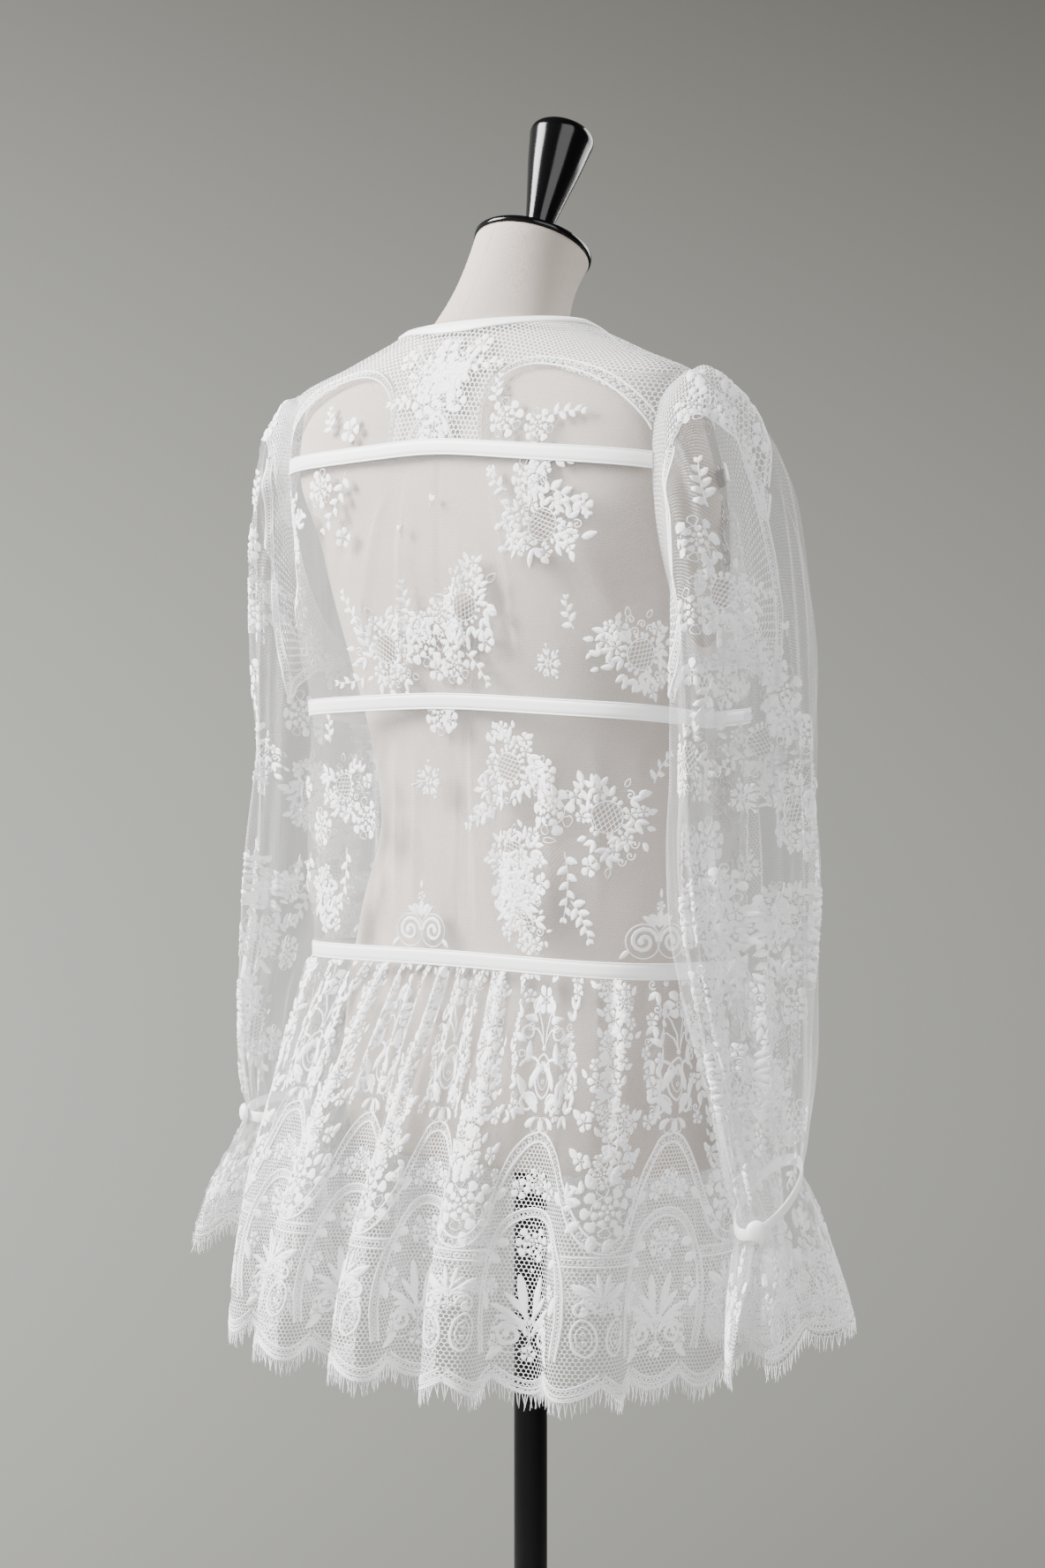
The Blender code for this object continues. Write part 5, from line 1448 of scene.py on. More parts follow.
    def oval(self, wide, tall):
        """A pointed oval of two cords with knots inside."""
        turns = np.linspace(0, 2 * math.pi, 20, endpoint=False)
        for size, width in ((1.0, 0.0016), (0.62, 0.0008)):
            x = wide * size * np.sign(np.cos(turns)) * np.abs(np.cos(turns)) ** 1.35
            y = tall * size * np.sign(np.sin(turns)) * np.abs(np.sin(turns)) ** 0.8
            self.cord(np.stack([x, y], axis=1), width, 1.0, True)
        for up in (-0.25, 0.25):
            self.at(0, tall * up).ring(wide * 0.16, 0.0008, 1.2, sides=8)

    def scrolls(self, size):
        """A pair of large facing scrolls that carry a small crest of petals."""
        for flip in (1, -1):
            side = self.at(flip * size * 0.03, size * 0.10, flip=flip)
            side.spiral(size * 0.31, 1.5, 0.0028)
            side.at(size * 0.31, 0).ring(size * 0.37, 0.0009, 0.8, sides=22)
            side.at(size * 0.08, size * 0.30, -0.5).petal(size * 0.34, size * 0.15, 0.3)
            side.at(size * 0.60, -size * 0.20, -2.1).petal(size * 0.26, size * 0.12, 0.2)
        for lean in (-0.7, 0.0, 0.7):
            self.at(0, size * 0.42, lean).petal(size * 0.34, size * 0.17, 0.0, PETAL)
        self.at(0, size * 0.86).flower(size * 0.11, 5)
        self.at(0, size * 1.04).petal(size * 0.20, size * 0.10)


def run_path(relief, places):
    """A pen at the middle of a run of u and v places, and the run as an even path in the pen's metres."""
    places = np.asarray(places, float)
    padded = np.concatenate([2 * places[:1] - places[1:2], places, 2 * places[-1:] - places[-2:-1]])
    fine = smooth_line(places, padded, 12)
    middle = fine[len(fine) // 2]
    flat = (fine - middle) @ np.linalg.inv(relief.metric(*middle)).T
    along = np.concatenate([[0], np.cumsum(np.linalg.norm(np.diff(flat, axis=0), axis=1))])
    at = np.linspace(0, along[-1], max(3, round(along[-1] / PATH_STEP) + 1))
    path = np.stack([np.interp(at, along, flat[:, 0]), np.interp(at, along, flat[:, 1])], axis=1)
    return Pen(relief, *middle), path


def double_cord(relief, places, gap=0.0052, width=0.0013, rings=True):
    """Two cords side by side with a chain of little rings between them."""
    pen, path = run_path(relief, places)
    for side in (-gap / 2, gap / 2):
        pen.cord(path + side * beside_path(path), width)
    if rings:
        step = max(1, round(gap * 0.75 / PATH_STEP))
        for x, y in path[1:-1:step]:
            pen.at(x, y).ring(gap * 0.27, 0.0007, 0.8, sides=7)


def garland(relief, places, seed, bloom=0.0105, leaf=0.0085, gap=0.0120):
    """A stem set with flowers and leaves that alternate along it."""
    chance = random.Random(seed)
    pen, path = run_path(relief, places)
    pen.cord(path, 0.0011)
    way = np.gradient(path, axis=0)
    step = max(1, round(gap / PATH_STEP))
    for k, (x, y) in enumerate(path[::step]):
        turn = math.atan2(*way[min(k * step, len(way) - 1)][::-1]) - math.pi / 2
        side = 1 if k % 2 else -1
        place = pen.at(x, y, turn)
        size = bloom * chance.uniform(0.75, 1.12)
        if chance.random() < 0.45:
            place.at(side * bloom * 0.5, 0).rose(size, chance.uniform(0, 1))
        else:
            place.at(side * bloom * 0.5, 0).flower(size * 0.86, chance.choice((5, 6)), chance.uniform(0, 1))
        for lean in (0.9, 1.5, 2.2):
            reach = leaf * chance.uniform(0.8, 1.15)
            place.at(-side * 0.001, gap * 0.2, side * lean).petal(reach, reach * 0.55, side * 0.15)
        place.at(side * bloom * 1.3, gap * 0.3, -side * 0.9).petal(leaf * 0.9, leaf * 0.5, -side * 0.15)
        place.at(-side * bloom * 0.9, -gap * 0.2).flower(bloom * 0.42, 5, chance.uniform(0, 1))


def make_surface(name):
    if name == "body":
        steps = (520, 280)
        return Surface(body_place, ROUND, BODY_HEIGHTS, steps, True, BODY_CREASES, BODY_BREADTH)
    if name == "peplum":
        return Surface(peplum_place, (-0.5, 0.5), (HEM_HEIGHT - 0.02, LOWER_SEAM), (864, 100), True)
    kind, side = name.split("_")
    if kind == "cuff":
        return Surface(cuff_place(HANGS[side]), (0.0, 1.0), (-1.0, 0.0), (192, 48))
    heights, steps = (SLEEVE_LOW, SLEEVE_DROP), (288, 288)
    return Surface(sleeve_place(HANGS[side]), ROUND, heights, steps, True, SLEEVE_CREASES, SLEEVE_BREADTH)


BODY_COLUMNS = 132
BODY_HEIGHTS = (0.90, 1.40)
ROUND = (-math.pi, math.pi)
SURFACES = {}


def surface(name):
    """A surface by its name, made when it is first asked for."""
    if name not in SURFACES:
        SURFACES[name] = make_surface(name)
    return SURFACES[name]


Motif = namedtuple("Motif", "kind u v size turn")


def motifs(*tables):
    """Motifs from rows of u, v, size and turn under their kinds, v and size in millimetres."""
    found = []
    for table in tables:
        for kind, rows in table.items():
            found += [Motif(kind, u, v * MM, size * MM, turn) for u, v, size, turn in rows]
    return found


BACK_LACE = motifs(
    # Upper tier
    {
        "wreath": [
            (0.9, 1236, 29, 0.2), (0.33, 1179, 25.5, 1), (-0.52, 1142, 27.5, 2), (1.2, 1143, 28, 0.8),
            (-1.26, 1233, 25, 0.5),
        ],
        "rose": [
            (0.9, 1269, 15, 0.4), (-0.14, 1150, 19, 0.6), (0.05, 1172, 13, 0.2), (0.17, 1133, 14, 0.1),
            (-1.06, 1264, 15, 0), (-1.3, 1148, 16, 0.4),
        ],
        "leafy": [
            (0.99, 1262, 30, -1.9), (1.02, 1280, 26, -1.2), (0.77, 1260, 20, 1.1), (0.3, 1142, 24, -2.2),
            (-0.28, 1170, 20, 0.5), (0.98, 1160, 18, 0.5), (-0.93, 1276, 42, 2.9), (-1.18, 1195, 22, 2.7),
            (-0.72, 1165, 24, 0.9), (-0.7, 1125, 24, 2),
        ],
        "flower": [(1.1, 1250, 8, 0), (-0.02, 1130, 9, 0), (0.48, 1150, 8, 0), (-0.86, 1227, 8, 0)],
        "bud": [(0.72, 1270, 10, 0.7), (-0.36, 1227, 9.5, 0.1), (-0.03, 1249, 9.5, -0.3)],
        "star": [(0.86, 1135, 14.5, 0.1)],
        "mass": [
            (-0.26, 1160, 20, 1.2), (0.16, 1152, 17, 1.4), (-1.24, 1185, 30, 0.1), (0.96, 1272, 15, 1.3),
        ],
    },
    # Lower tier
    {
        "rose": [
            (-0.02, 1096, 15, 0.5), (0.83, 1029, 18, 0.2), (0.8, 1056, 12, 0.2), (0.56, 967, 17, 0.9),
            (-0.72, 1018, 16, 0.3), (-1.02, 1010, 15, 0.3),
        ],
        "flower": [
            (0.08, 1093, 8, 0.5), (0.78, 976, 8.5, 0), (0.98, 990, 8, 0), (-1.16, 1040, 9, 0),
            (0.36, 1025, 8.5, 0),
        ],
        "wreath": [
            (0.56, 1059, 26.5, 0.3), (1.06, 1023, 28.5, 1.3), (0.62, 996, 23, 2.2), (0.66, 950, 20, 2.6),
            (-0.86, 1042, 23.5, 0.6),
        ],
        "leafy": [
            (0.45, 1033, 26, 2.4), (0.88, 1000, 42, 3.4), (0.9, 965, 26, 3.9), (-0.95, 1075, 18, 0.2),
            (-0.86, 995, 44, 3.2), (-1.12, 990, 40, 2.9), (1.22, 1050, 24, -0.5),
        ],
        "star": [(-0.17, 1048, 16, 0)],
        "mass": [(0.6, 972, 33, 0.25), (0.8, 1042, 19, 0.9), (-0.98, 956, 30, 0.1), (-1.34, 1020, 42, 0)],
        "scrolls": [(-0.24, 934, 33, 0), (1.23, 934, 33, 0), (-1.52, 934, 33, 0)],
    },
    # Yoke
    {
        "mass": [(0, 1340, 24, 1.45), (0.3, 1348, 16, 1.3)],
        "fan": [(0, 1300, 12.5, 0)],
        "rose": [
            (0.15, 1342, 17, 0.1), (-0.13, 1336, 14, 0.3), (0.1, 1318, 12.5, 0.2), (0.34, 1356, 12.5, 0.4),
            (-0.36, 1344, 12.5, 0.7), (0.84, 1312, 15, 0.2), (1.02, 1306, 13, 0.4),
        ],
        "flower": [
            (0.33, 1326, 9, 0), (0.02, 1364, 11, 0.4), (-0.26, 1324, 9.5, 0.7), (0.27, 1340, 8, 0.7),
            (-0.02, 1320, 7.5, 0.7), (0.62, 1368, 8.5, 0.3), (-0.64, 1360, 8.5, 0.3), (-0.98, 1308, 10, 0),
        ],
        "leafy": [
            (0.42, 1350, 20, -1.2), (0.18, 1310, 14, 2.6), (-0.2, 1312, 13, 3.6), (-0.44, 1330, 15, 2),
            (-0.28, 1354, 18, -0.7), (0.8, 1324, 15, 0.3), (1.1, 1313, 17, -1.2), (-1.1, 1308, 15, 0.6),
        ],
    },
)
# Double cords over the yoke, as places of u and v: an arch to each side and two across the middle
SIDE_ARCH = [(0.60, 1.297), (0.66, 1.322), (0.86, 1.344), (1.10, 1.353)]
SIDE_ARCH += [(1.30, 1.342), (1.40, 1.310), (1.40, 1.280)]
YOKE_ARCHES = [
    SIDE_ARCH,
    [(-u, v) for u, v in SIDE_ARCH],
    [(-0.32, 1.298), (-0.22, 1.311), (-0.05, 1.316), (0.12, 1.311), (0.22, 1.298)],
    [(-0.62, 1.370), (-0.40, 1.356), (0.00, 1.350), (0.40, 1.356), (0.62, 1.370)],
]
SLEEVE_LACE = motifs(
    {
        "wreath": [
            (-0.78, -200, 27, 0.3), (-1.46, -260, 24, 1.3), (0.22, -306, 27, 0.7), (-1.2, -345, 27, 0.1),
            (-0.45, -400, 25, 2.1), (-1.1, -435, 24, 1.7), (-0.3, -462, 24, 0.9),
        ],
        "rose": [
            (-1.1, -150, 16, 0.3), (-1.24, -185, 17, 0.6), (0.05, -266, 19, 0.2), (0.42, -270, 15, 0.7),
            (0.02, -356, 16, 0.5), (-0.9, -333, 15, 0.1), (-1.42, -382, 16, 0.2), (0.2, -405, 15, 0.4),
            (-0.72, -470, 16, 0.9), (-1.2, -500, 13, 0.9), (0.25, -480, 15, 0.1), (-0.3, -110, 15, 0.9),
            (0.2, -85, 15, 0.2), (-0.62, -85, 13, 0.9),
        ],
        "leafy": [
            (-0.86, -146, 26, 0.4), (-0.42, -205, 22, -1.3), (-1, -233, 34, 2.9), (0.1, -338, 32, 2.9),
            (0.52, -322, 30, -2.4), (-0.85, -360, 33, 3.5), (-0.2, -384, 26, -1.2), (-0.95, -480, 26, 3),
            (0.05, -495, 22, 3), (-0.1, -150, 20, 0.6),
        ],
        "flower": [(-1.3, -218, 10, 0.3), (0.1, -130, 11, 0.9), (-0.3, -70, 10, 0.2)],
        "star": [(-0.62, -295, 14, 0.2)],
        "bud": [(0.08, -230, 11, 0.2)],
    },
)
# How far the raised lace stays from an armhole, in radians, and from a panel's edge, in metres
ARMHOLE_ROOM = 0.006
EDGE_ROOM = 0.0004
SLEEVE_WAVE_HEIGHT = -0.125
SLEEVE_WAVE_DEPTH = 0.052
SLEEVE_WAVE_TURN = -1.12
PEPLUM_CUT_WIDTH = 1.56
PEPLUM_REPEATS = 12
PEPLUM_FIRST = 4.5 / 36
CUFF_CUT = (0.35, 0.085)


def draw(relief, motif, flip=1.0, shift=0.0):
    """Draws a motif at its place, or mirrored and moved on to the front by a flip and a shift."""
    pen = Pen(relief, motif.u * flip + shift, motif.v, motif.turn * flip, flip)
    seed = round(motif.u * 1000) + round(motif.v * 10000)
    size = motif.size
    if motif.kind in ("wreath", "mass"):
        getattr(pen, motif.kind)(size, seed)
    elif motif.kind == "leafy":
        pen.leafy(size, 7 if size > 0.025 else 5, 0.0095 if size > 0.025 else 0.008)
    else:
        getattr(pen, motif.kind)(size)


def line_height(level, u):
    """The height of a level line at any u, right round the body."""
    turn = np.abs(round_turn(u))
    behind = turn <= math.pi / 2
    back_reach = side_turn(level.side, True)
    front_reach = math.pi - side_turn(level.side, False)
    share = np.clip(np.where(behind, turn / back_reach, (math.pi - turn) / front_reach), 0, 1)
    centre = np.where(behind, level.back, level.front)
    return centre + (level.side - centre) * (1 - (1 - share**2) ** level.bend)


def in_panel(low, high, behind):
    """A test for places of a body panel between two level lines and beside the armholes."""
    heights = np.linspace(*BODY_HEIGHTS, 120)
    reach = np.array([side_turn(height, behind) for height in heights])

    def test(u, v):
        turn, limit = np.abs(round_turn(u)), np.interp(v, heights, reach)
        beside = turn < limit - ARMHOLE_ROOM if behind else turn > limit + ARMHOLE_ROOM
        return beside & (v > line_height(low, u) + EDGE_ROOM) & (v < line_height(high, u) - EDGE_ROOM)

    return test


def yoke_pebble(u, v):
    """Dense little cells over the yoke, but for the insides of its arches."""
    turn = np.abs(round_turn(u))
    turn = np.minimum(turn, math.pi - turn)
    off = np.hypot((turn - 1.0) / 0.40, (v - 1.297) / 0.056)
    return (off - 1.0) * 0.05


def sleeve_wave(u):
    share = np.abs(np.cos((u - SLEEVE_WAVE_TURN) * 1.5)) ** 0.8
    return SLEEVE_WAVE_HEIGHT + SLEEVE_WAVE_DEPTH * (share * 2 - 1)


def peplum_phase(u):
    """0 at the middle of a repeat's palmette, 0.5 between two of them."""
    return np.remainder((u - PEPLUM_FIRST) * PEPLUM_REPEATS + 0.5, 1.0) - 0.5


def wave_rise(u):
    """How high the double-cord wave runs above the hem: high over a palmette and low between."""
    return 0.128 + 0.036 * np.cos(2 * math.pi * peplum_phase(u))


def pens_on(relief, u, foot, drop=1.0):
    """A maker of pens on one upright line of the cloth, at a height in metres above its foot."""
    return lambda up, **how: Pen(relief, u, foot + up / drop, **how)


def flowers_beside(pen, *rows):
    """Pairs of flowers, from rows of height, way aside, radius and count of petals."""
    for up, aside, radius, petals in rows:
        for side in (-1, 1):
            pen(up).at(side * aside, 0.0).flower(radius, petals)


def petals_beside(pen, bend, *rows):
    """Pairs of mirrored petals, from rows of height, way aside, lean outward, length and width."""
    for up, aside, lean, length, width in rows:
        for side in (-1, 1):
            pen(up).at(side * aside, 0.0, -side * lean).petal(length, width, side * bend)


def palmette_unit(relief, u):
    """A repeat's middle: a palmette in its arch, a vase, an oval between scrolls and a candelabra."""
    pen = pens_on(relief, u, HEM_HEIGHT)
    pen(0.026).palmette(0.050)
    flowers_beside(pen, (0.024, 0.020, 0.0068, 6), (0.062, 0.027, 0.0058, 5), (0.128, 0.012, 0.0070, 5))
    petals_beside(pen, 0.2, (0.046, 0.030, 0.3, 0.018, 0.008), (0.078, 0.021, 1.0, 0.014, 0.007),
                  (0.090, 0.016, 1.2, 0.012, 0.007), (0.127, 0.022, 1.9, 0.013, 0.007))
    petals_beside(pen, 0.25, (0.192, 0.0165, 0.2, 0.015, 0.0063), (0.228, 0.0185, 0.9, 0.013, 0.00546),
                  (0.246, 0.0130, -0.5, 0.012, 0.00504))
    petals_beside(pen, 0.0, (0.270, 0.008, 0.9, 0.012, 0.006))
    arch = [(-0.036, 0.018), (-0.040, 0.046), (-0.036, 0.078), (-0.020, 0.104), (0.0, 0.113)]
    arch += [(-x, y) for x, y in arch[-2::-1]]
    step = 1 / PEPLUM_CUT_WIDTH
    double_cord(relief, [(u + x * step, HEM_HEIGHT + y) for x, y in arch], 0.0055, 0.0017)
    pen(0.092).rose(0.0125, 0.3)
    pen(0.134).rose(0.0090)
    pen(0.205).oval(0.0075, 0.0150)
    pen(0.224).dot(0.0022)
    pen(0.257).flower(0.0105, 6)
    for k in range(-2, 3):
        petal = pen(0.177).at(0.0026 * k, 0.0, math.pi + k * 0.42)
        petal.petal(0.0105, 0.0056, 0.0, PETAL, k % 2 == 0)
    for side in (-1, 1):
        body = pen(0.176, flip=side)
        body.at(0.004, 0.004, -0.5).petal(0.020, 0.0075, 0.35)
        body.at(0.004, 0.010).spiral(0.0085, 1.3, 0.0022)
        body.at(0.012, 0.020, 0.2).petal(0.022, 0.0075, -0.45)
        body.at(0.017, 0.038, 0.5).petal(0.014, 0.007, 0.4)
        pen(0.205, flip=side).at(0.012, 0.002).arch(0.010, 0.4, 3.0, 0.0022)
        for up, aside in ((0.184, 0.0185), (0.220, 0.0205), (0.238, 0.0150)):
            pen(up).at(side * aside, 0.0).ring(0.0024, 0.0010, 1.0, sides=8)
        curl = pen(0.226, flip=side)
        curl.cord([(0.0012, 0.0), (0.002, 0.010), (0.006, 0.020), (0.010, 0.024)], 0.0013)
        curl.cord([(0.0008, 0.0), (0.004, 0.007), (0.009, 0.011), (0.015, 0.010)], 0.0013)
        curl.at(0.0100, 0.0270).ring(0.0042, 0.0020)
        curl.at(0.0170, 0.0085).ring(0.0042, 0.0020)
        curl.at(0.009, 0.016, -1.1).petal(0.012, 0.006, 0.2)
    chance = random.Random(round(u * 1000))
    for up in np.arange(0.176, 0.272, 0.0079):
        for side in (-1, 1):
            aside = 0.0285 + 0.0035 * math.sin(up * 95 + side) + chance.uniform(-0.002, 0.002)
            pen(up).at(side * aside, 0.0, chance.uniform(0, 6.28)).tuft(chance)
            if chance.random() < 0.45:
                pen(up + 0.004).at(side * (aside - 0.0085), 0.0, chance.uniform(0, 6.28)).tuft(chance)


def garland_unit(relief, u, seed):
    """Between two palmettes: paired ovals and a crest, a rose medallion, and a garland up to the seam."""
    step = 1 / PEPLUM_CUT_WIDTH
    pen = pens_on(relief, u, HEM_HEIGHT)
    for side in (-1, 1):
        pen(0.034).at(side * 0.0098, 0.0, -side * 0.12).oval(0.0068, 0.0125)
        pen(0.052).at(side * 0.004, 0.0, flip=side).spiral(0.0068, 1.2, 0.0020)
    petals_beside(pen, 0.2, (0.060, 0.006, 0.7, 0.015, 0.007))
    pen(0.055).palmette(0.024)
    bar = [(u + x * step, HEM_HEIGHT + 0.084) for x in (-0.028, -0.012, 0.012, 0.028)]
    double_cord(relief, bar, 0.0062, 0.0013)
    pen(0.117).rose(0.0175, 0.4)
    chance = random.Random(seed)
    for k in range(9):
        way = 2 * math.pi * k / 9
        place = pen(0.117).round(0.0175, way)
        place.at(0, 0, chance.uniform(-0.8, 0.8)).petal(chance.uniform(0.010, 0.014), 0.007, 0.1)
    sway = 0.006 * (1 if seed % 2 else -1)
    path = [(0.0, 0.140), (sway, 0.170), (-sway, 0.205), (sway, 0.240), (0.0, 0.276)]
    garland(relief, [(u + x * step, HEM_HEIGHT + y) for x, y in path], seed)
    for side in (-1, 1):
        pen(0.128).at(side * 0.026, 0.0, side * 0.5).mass(0.0120, seed + side)
        for up in (0.150, 0.176):
            place = pen(up).at(side * 0.019, 0.0)
            place.flower(0.0062, 5, chance.uniform(0, 1))
            place.at(side * 0.003, 0.002, -side * 0.9).petal(0.010, 0.006)


def hem_edge(relief, first, last):
    """Two rows of cord with rings between that follow the scallops."""
    for k in range(first, last):
        u = (k + np.linspace(0.0, 1.0, 9)) / SCALLOPS
        edge = HEM_HEIGHT + hem_depth(u)
        double_cord(relief, np.stack([u, edge + 0.0075], axis=1), 0.0048, 0.0013)
        double_cord(relief, np.stack([u, edge + 0.0022], axis=1), 0.0012, 0.0011, rings=False)


def lace_peplum():
    """The peplum's lace: twelve repeats of three scallops."""
    peplum = surface("peplum")
    cut = np.array([[1 / PEPLUM_CUT_WIDTH, 0.0], [0.0, 1.0]])
    for name, first in (("peplum_back", -0.25), ("peplum_front", 0.25)):
        def inside(u, v, first=first):
            at = np.remainder(u - first, 1.0)
            return (at < 0.5) & (v > HEM_HEIGHT + hem_depth(u)) & (v < LOWER_SEAM - 0.0065)

        relief = Relief(peplum, inside, cut)
        start = round((first - 0.10) * PEPLUM_REPEATS)
        for k in range(start, start + PEPLUM_REPEATS // 2 + 4):
            u = PEPLUM_FIRST - 2 / PEPLUM_REPEATS + (k + 1) / PEPLUM_REPEATS
            palmette_unit(relief, u)
            garland_unit(relief, u + 0.5 / PEPLUM_REPEATS, k + 40)
            wave = u + np.linspace(0, 1, 17) / PEPLUM_REPEATS
            double_cord(relief, np.stack([wave, HEM_HEIGHT + wave_rise(wave)], axis=1), 0.0062, 0.0018)
        low = round((first - 0.03) * SCALLOPS)
        hem_edge(relief, low, low + SCALLOPS // 2 + 3)
        carry(relief.build(name + "_lace"), "lace")
        yield name, relief


# Each panel's cut: its greatest width and length in metres, and its area in square metres
Cut = namedtuple("Cut", "width length area")


def make_body():
    """The yoke and the two tiers: their nets, and the lace that is raised on them."""
    body = surface("body")
    yoke, upper, lower = yoke_levels(), upper_tier_levels(), lower_tier_levels()
    fine_upper, fine_lower = refined(upper, 5), refined(lower, 44)
    for panel, levels, fine, sides in (
        ("yoke", (yoke[0], yoke[-2]), refined(yoke, 4), (True, False)),
        ("back_upper", (upper[0], upper[-1]), fine_upper, (True,)),
        ("front_upper", (upper[0], upper[-1]), fine_upper, (False,)),
        ("back_lower", lower, fine_lower, (True,)),
        ("front_lower", lower, fine_lower, (False,)),
    ):
        tests = [in_panel(*levels, behind) for behind in sides]
        relief = Relief(body, lambda u, v: np.any([test(u, v) for test in tests], axis=0))
        low, high = levels[0].side - 0.03, levels[1].back + 0.03
        for behind in sides:
            flip, shift = (1.0, 0.0) if behind else (-1.0, math.pi)
            for motif in BACK_LACE:
                if low < motif.v < high:
                    draw(relief, motif, flip, shift)
            for arch in YOKE_ARCHES if panel == "yoke" else ():
                double_cord(relief, [(u + shift, v) for u, v in arch], 0.0060, 0.0014)
        lace = carry(relief.build(panel + "_lace"), "lace")
        fields = {"clear": relief.clear}
        if panel == "yoke":
            fields["pebble"] = yoke_pebble
        grounds = []
        if panel == "back_lower":
            for side, low_share, high_share in (("right", -1, 0), ("left", 0, 1)):
                grid = panel_grid(fine, True, BODY_COLUMNS // 2, low_share, high_share)
                ground = make_ground(f"back_lower_{side}_net", body, grid, fields)
                grounds.append(carry(ground, "lace", f"back_lower_{side}"))
        else:
            for behind in sides:
                name = panel + ("_net" if len(sides) == 1 else "_back_net" if behind else "_front_net")
                ground = make_ground(name, body, panel_grid(fine, behind, BODY_COLUMNS), fields)
                grounds.append(carry(ground, "lace", panel))
        for k, ground in enumerate(grounds):
            [lace] if k == 0 else []


# The neck binding's rows: the share of the way up it, and the lift
BINDING_PROFILE = [(0.0, 0.0002), (0.02, 0.0010), (0.1, 0.0014), (0.5, 0.0015), (0.9, 0.0013)]
BINDING_PROFILE += [(1.0, 0.0006), (1.0, -0.0008)]
LABEL_SIZE = (0.036, 0.028)
LABEL_BELOW_NECK = 0.012
LABEL_DEPTH = 0.0024
NECK_ROUND = 0.09


def make_tapes():
    body = surface("body")
    half = TAPE_WIDTH / 2
    lower, upper, yoke = lower_tier_levels(), upper_tier_levels(), yoke_levels()
    lifts = [lift for _, lift in TAPE_PROFILE]
    for name, centre in (("tape_middle", lower[1]), ("tape_lower", lower[0])):
        levels = tape_levels(centre, raised(centre, -half), raised(centre, half))
        grid = ring_grid(levels, BODY_COLUMNS)
        carry(make_strip(name + "_satin", body, grid, lifts, ring=True), "tape", name)
    centre, below = yoke[0], upper[-2]
    levels = tape_levels(centre, between(centre, below, half / (centre.back - below.back)), yoke[1])
    for name, behind in (("tape_upper_back", True), ("tape_upper_front", False)):
        grid = panel_grid(levels, behind, BODY_COLUMNS)
        carry(make_strip(name + "_satin", body, grid, lifts), "tape", name)
    grid = ring_grid([between(*yoke[-2:], share) for share, _ in BINDING_PROFILE], BODY_COLUMNS)
    lifts = [lift for _, lift in BINDING_PROFILE]
    carry(make_strip("neck_binding_satin", body, grid, lifts, ring=True), "tape", "neck_binding")


def make_label():
    wide, tall = LABEL_SIZE
    across = np.linspace(-wide / 2, wide / 2, 9)
    heights = NECK_BACK_HEIGHT - LABEL_BELOW_NECK - np.linspace(tall, 0.0, 8)
    grid = np.meshgrid(-np.arcsin(across / NECK_ROUND)[::-1], heights)
    thing = grid_mesh("neck_label_woven", lay(surface("body"), grid, -LABEL_DEPTH), "label")
    carry(thing, "label", "neck_label")


# Columns of net to a scallop, and the fringes' counts and lengths of threads
PEPLUM_STEPS = 12
HEM_STRANDS = 930
HEM_FRINGE = 0.0112
CUFF_STRANDS = 190
CUFF_FRINGE = 0.011


def make_peplum():
    """The peplum's two halves of net, their lace and the hem's fringe."""
    peplum = surface("peplum")
    columns = SCALLOPS * PEPLUM_STEPS // 2
    for name, relief in lace_peplum():
        first = -0.25 if name == "peplum_back" else 0.25
        u = np.linspace(first, first + 0.5, columns + 1)
        share = np.linspace(0, 1, 72)[:, None]
        bottom = HEM_HEIGHT + hem_depth(u)
        v = bottom + (LOWER_SEAM - bottom) * share
        fields = {"clear": relief.clear, "open": lambda u, v: HEM_HEIGHT + wave_rise(u) - v}
        grid, cut = (u + 0 * v, v), (PEPLUM_CUT_WIDTH, 1.0)
        thing = make_ground(name + "_net", peplum, grid, fields, cut=cut, fold=0.35)
        carry(thing, "lace", name)
        name + "_lace"
    u = np.linspace(-0.5, 0.5, SCALLOPS * 16 + 1)
    v = HEM_HEIGHT + hem_depth(u)
    fringe = make_fringe("hem_fringe_threads", peplum, u, v, HEM_STRANDS, HEM_FRINGE)
    carry(fringe, "lace", "hem_fringe")


def lace_sleeve(side):
    """A sleeve's lace: a dense cap over a double-cord wave, and clusters down the arm."""
    sleeve = surface("sleeve_" + side)
    relief = Relief(sleeve, lambda u, v: (v > SLEEVE_LOW + 0.001) & (v < SLEEVE_DROP * 0.9))
    hand = HANGS[side].side
    for motif in SLEEVE_LACE:
        for turned in (0.0, math.pi):
            draw(relief, motif, -hand, turned)
    u = np.linspace(-math.pi, math.pi, 73)
    wave = sleeve_wave(-hand * u)
    for k in range(6):
        part = slice(12 * k, 12 * k + 13)
        double_cord(relief, np.stack([u[part], wave[part]], axis=1), 0.0055, 0.0014)
    return carry(relief.build(f"sleeve_{side}_lace"), "lace"), relief


def make_sleeves():
    for side, hang in HANGS.items():
        lace, relief = lace_sleeve(side)
        u = np.linspace(-math.pi, math.pi, 161)[:-1]
        grid = np.meshgrid(u, np.linspace(SLEEVE_LOW, SLEEVE_DROP, 104))
        fields = {"clear": relief.clear, "pebble": lambda u, v: v - sleeve_wave(-hang.side * u)}
        sleeve, cut = surface("sleeve_" + side), (SLEEVE_BREADTH_FLAT, 1.0)
        thing = make_ground(f"sleeve_{side}_net", sleeve, grid, fields, True, cut)
        carry(thing, "lace", f"sleeve_{side}_back", f"sleeve_{side}_front")


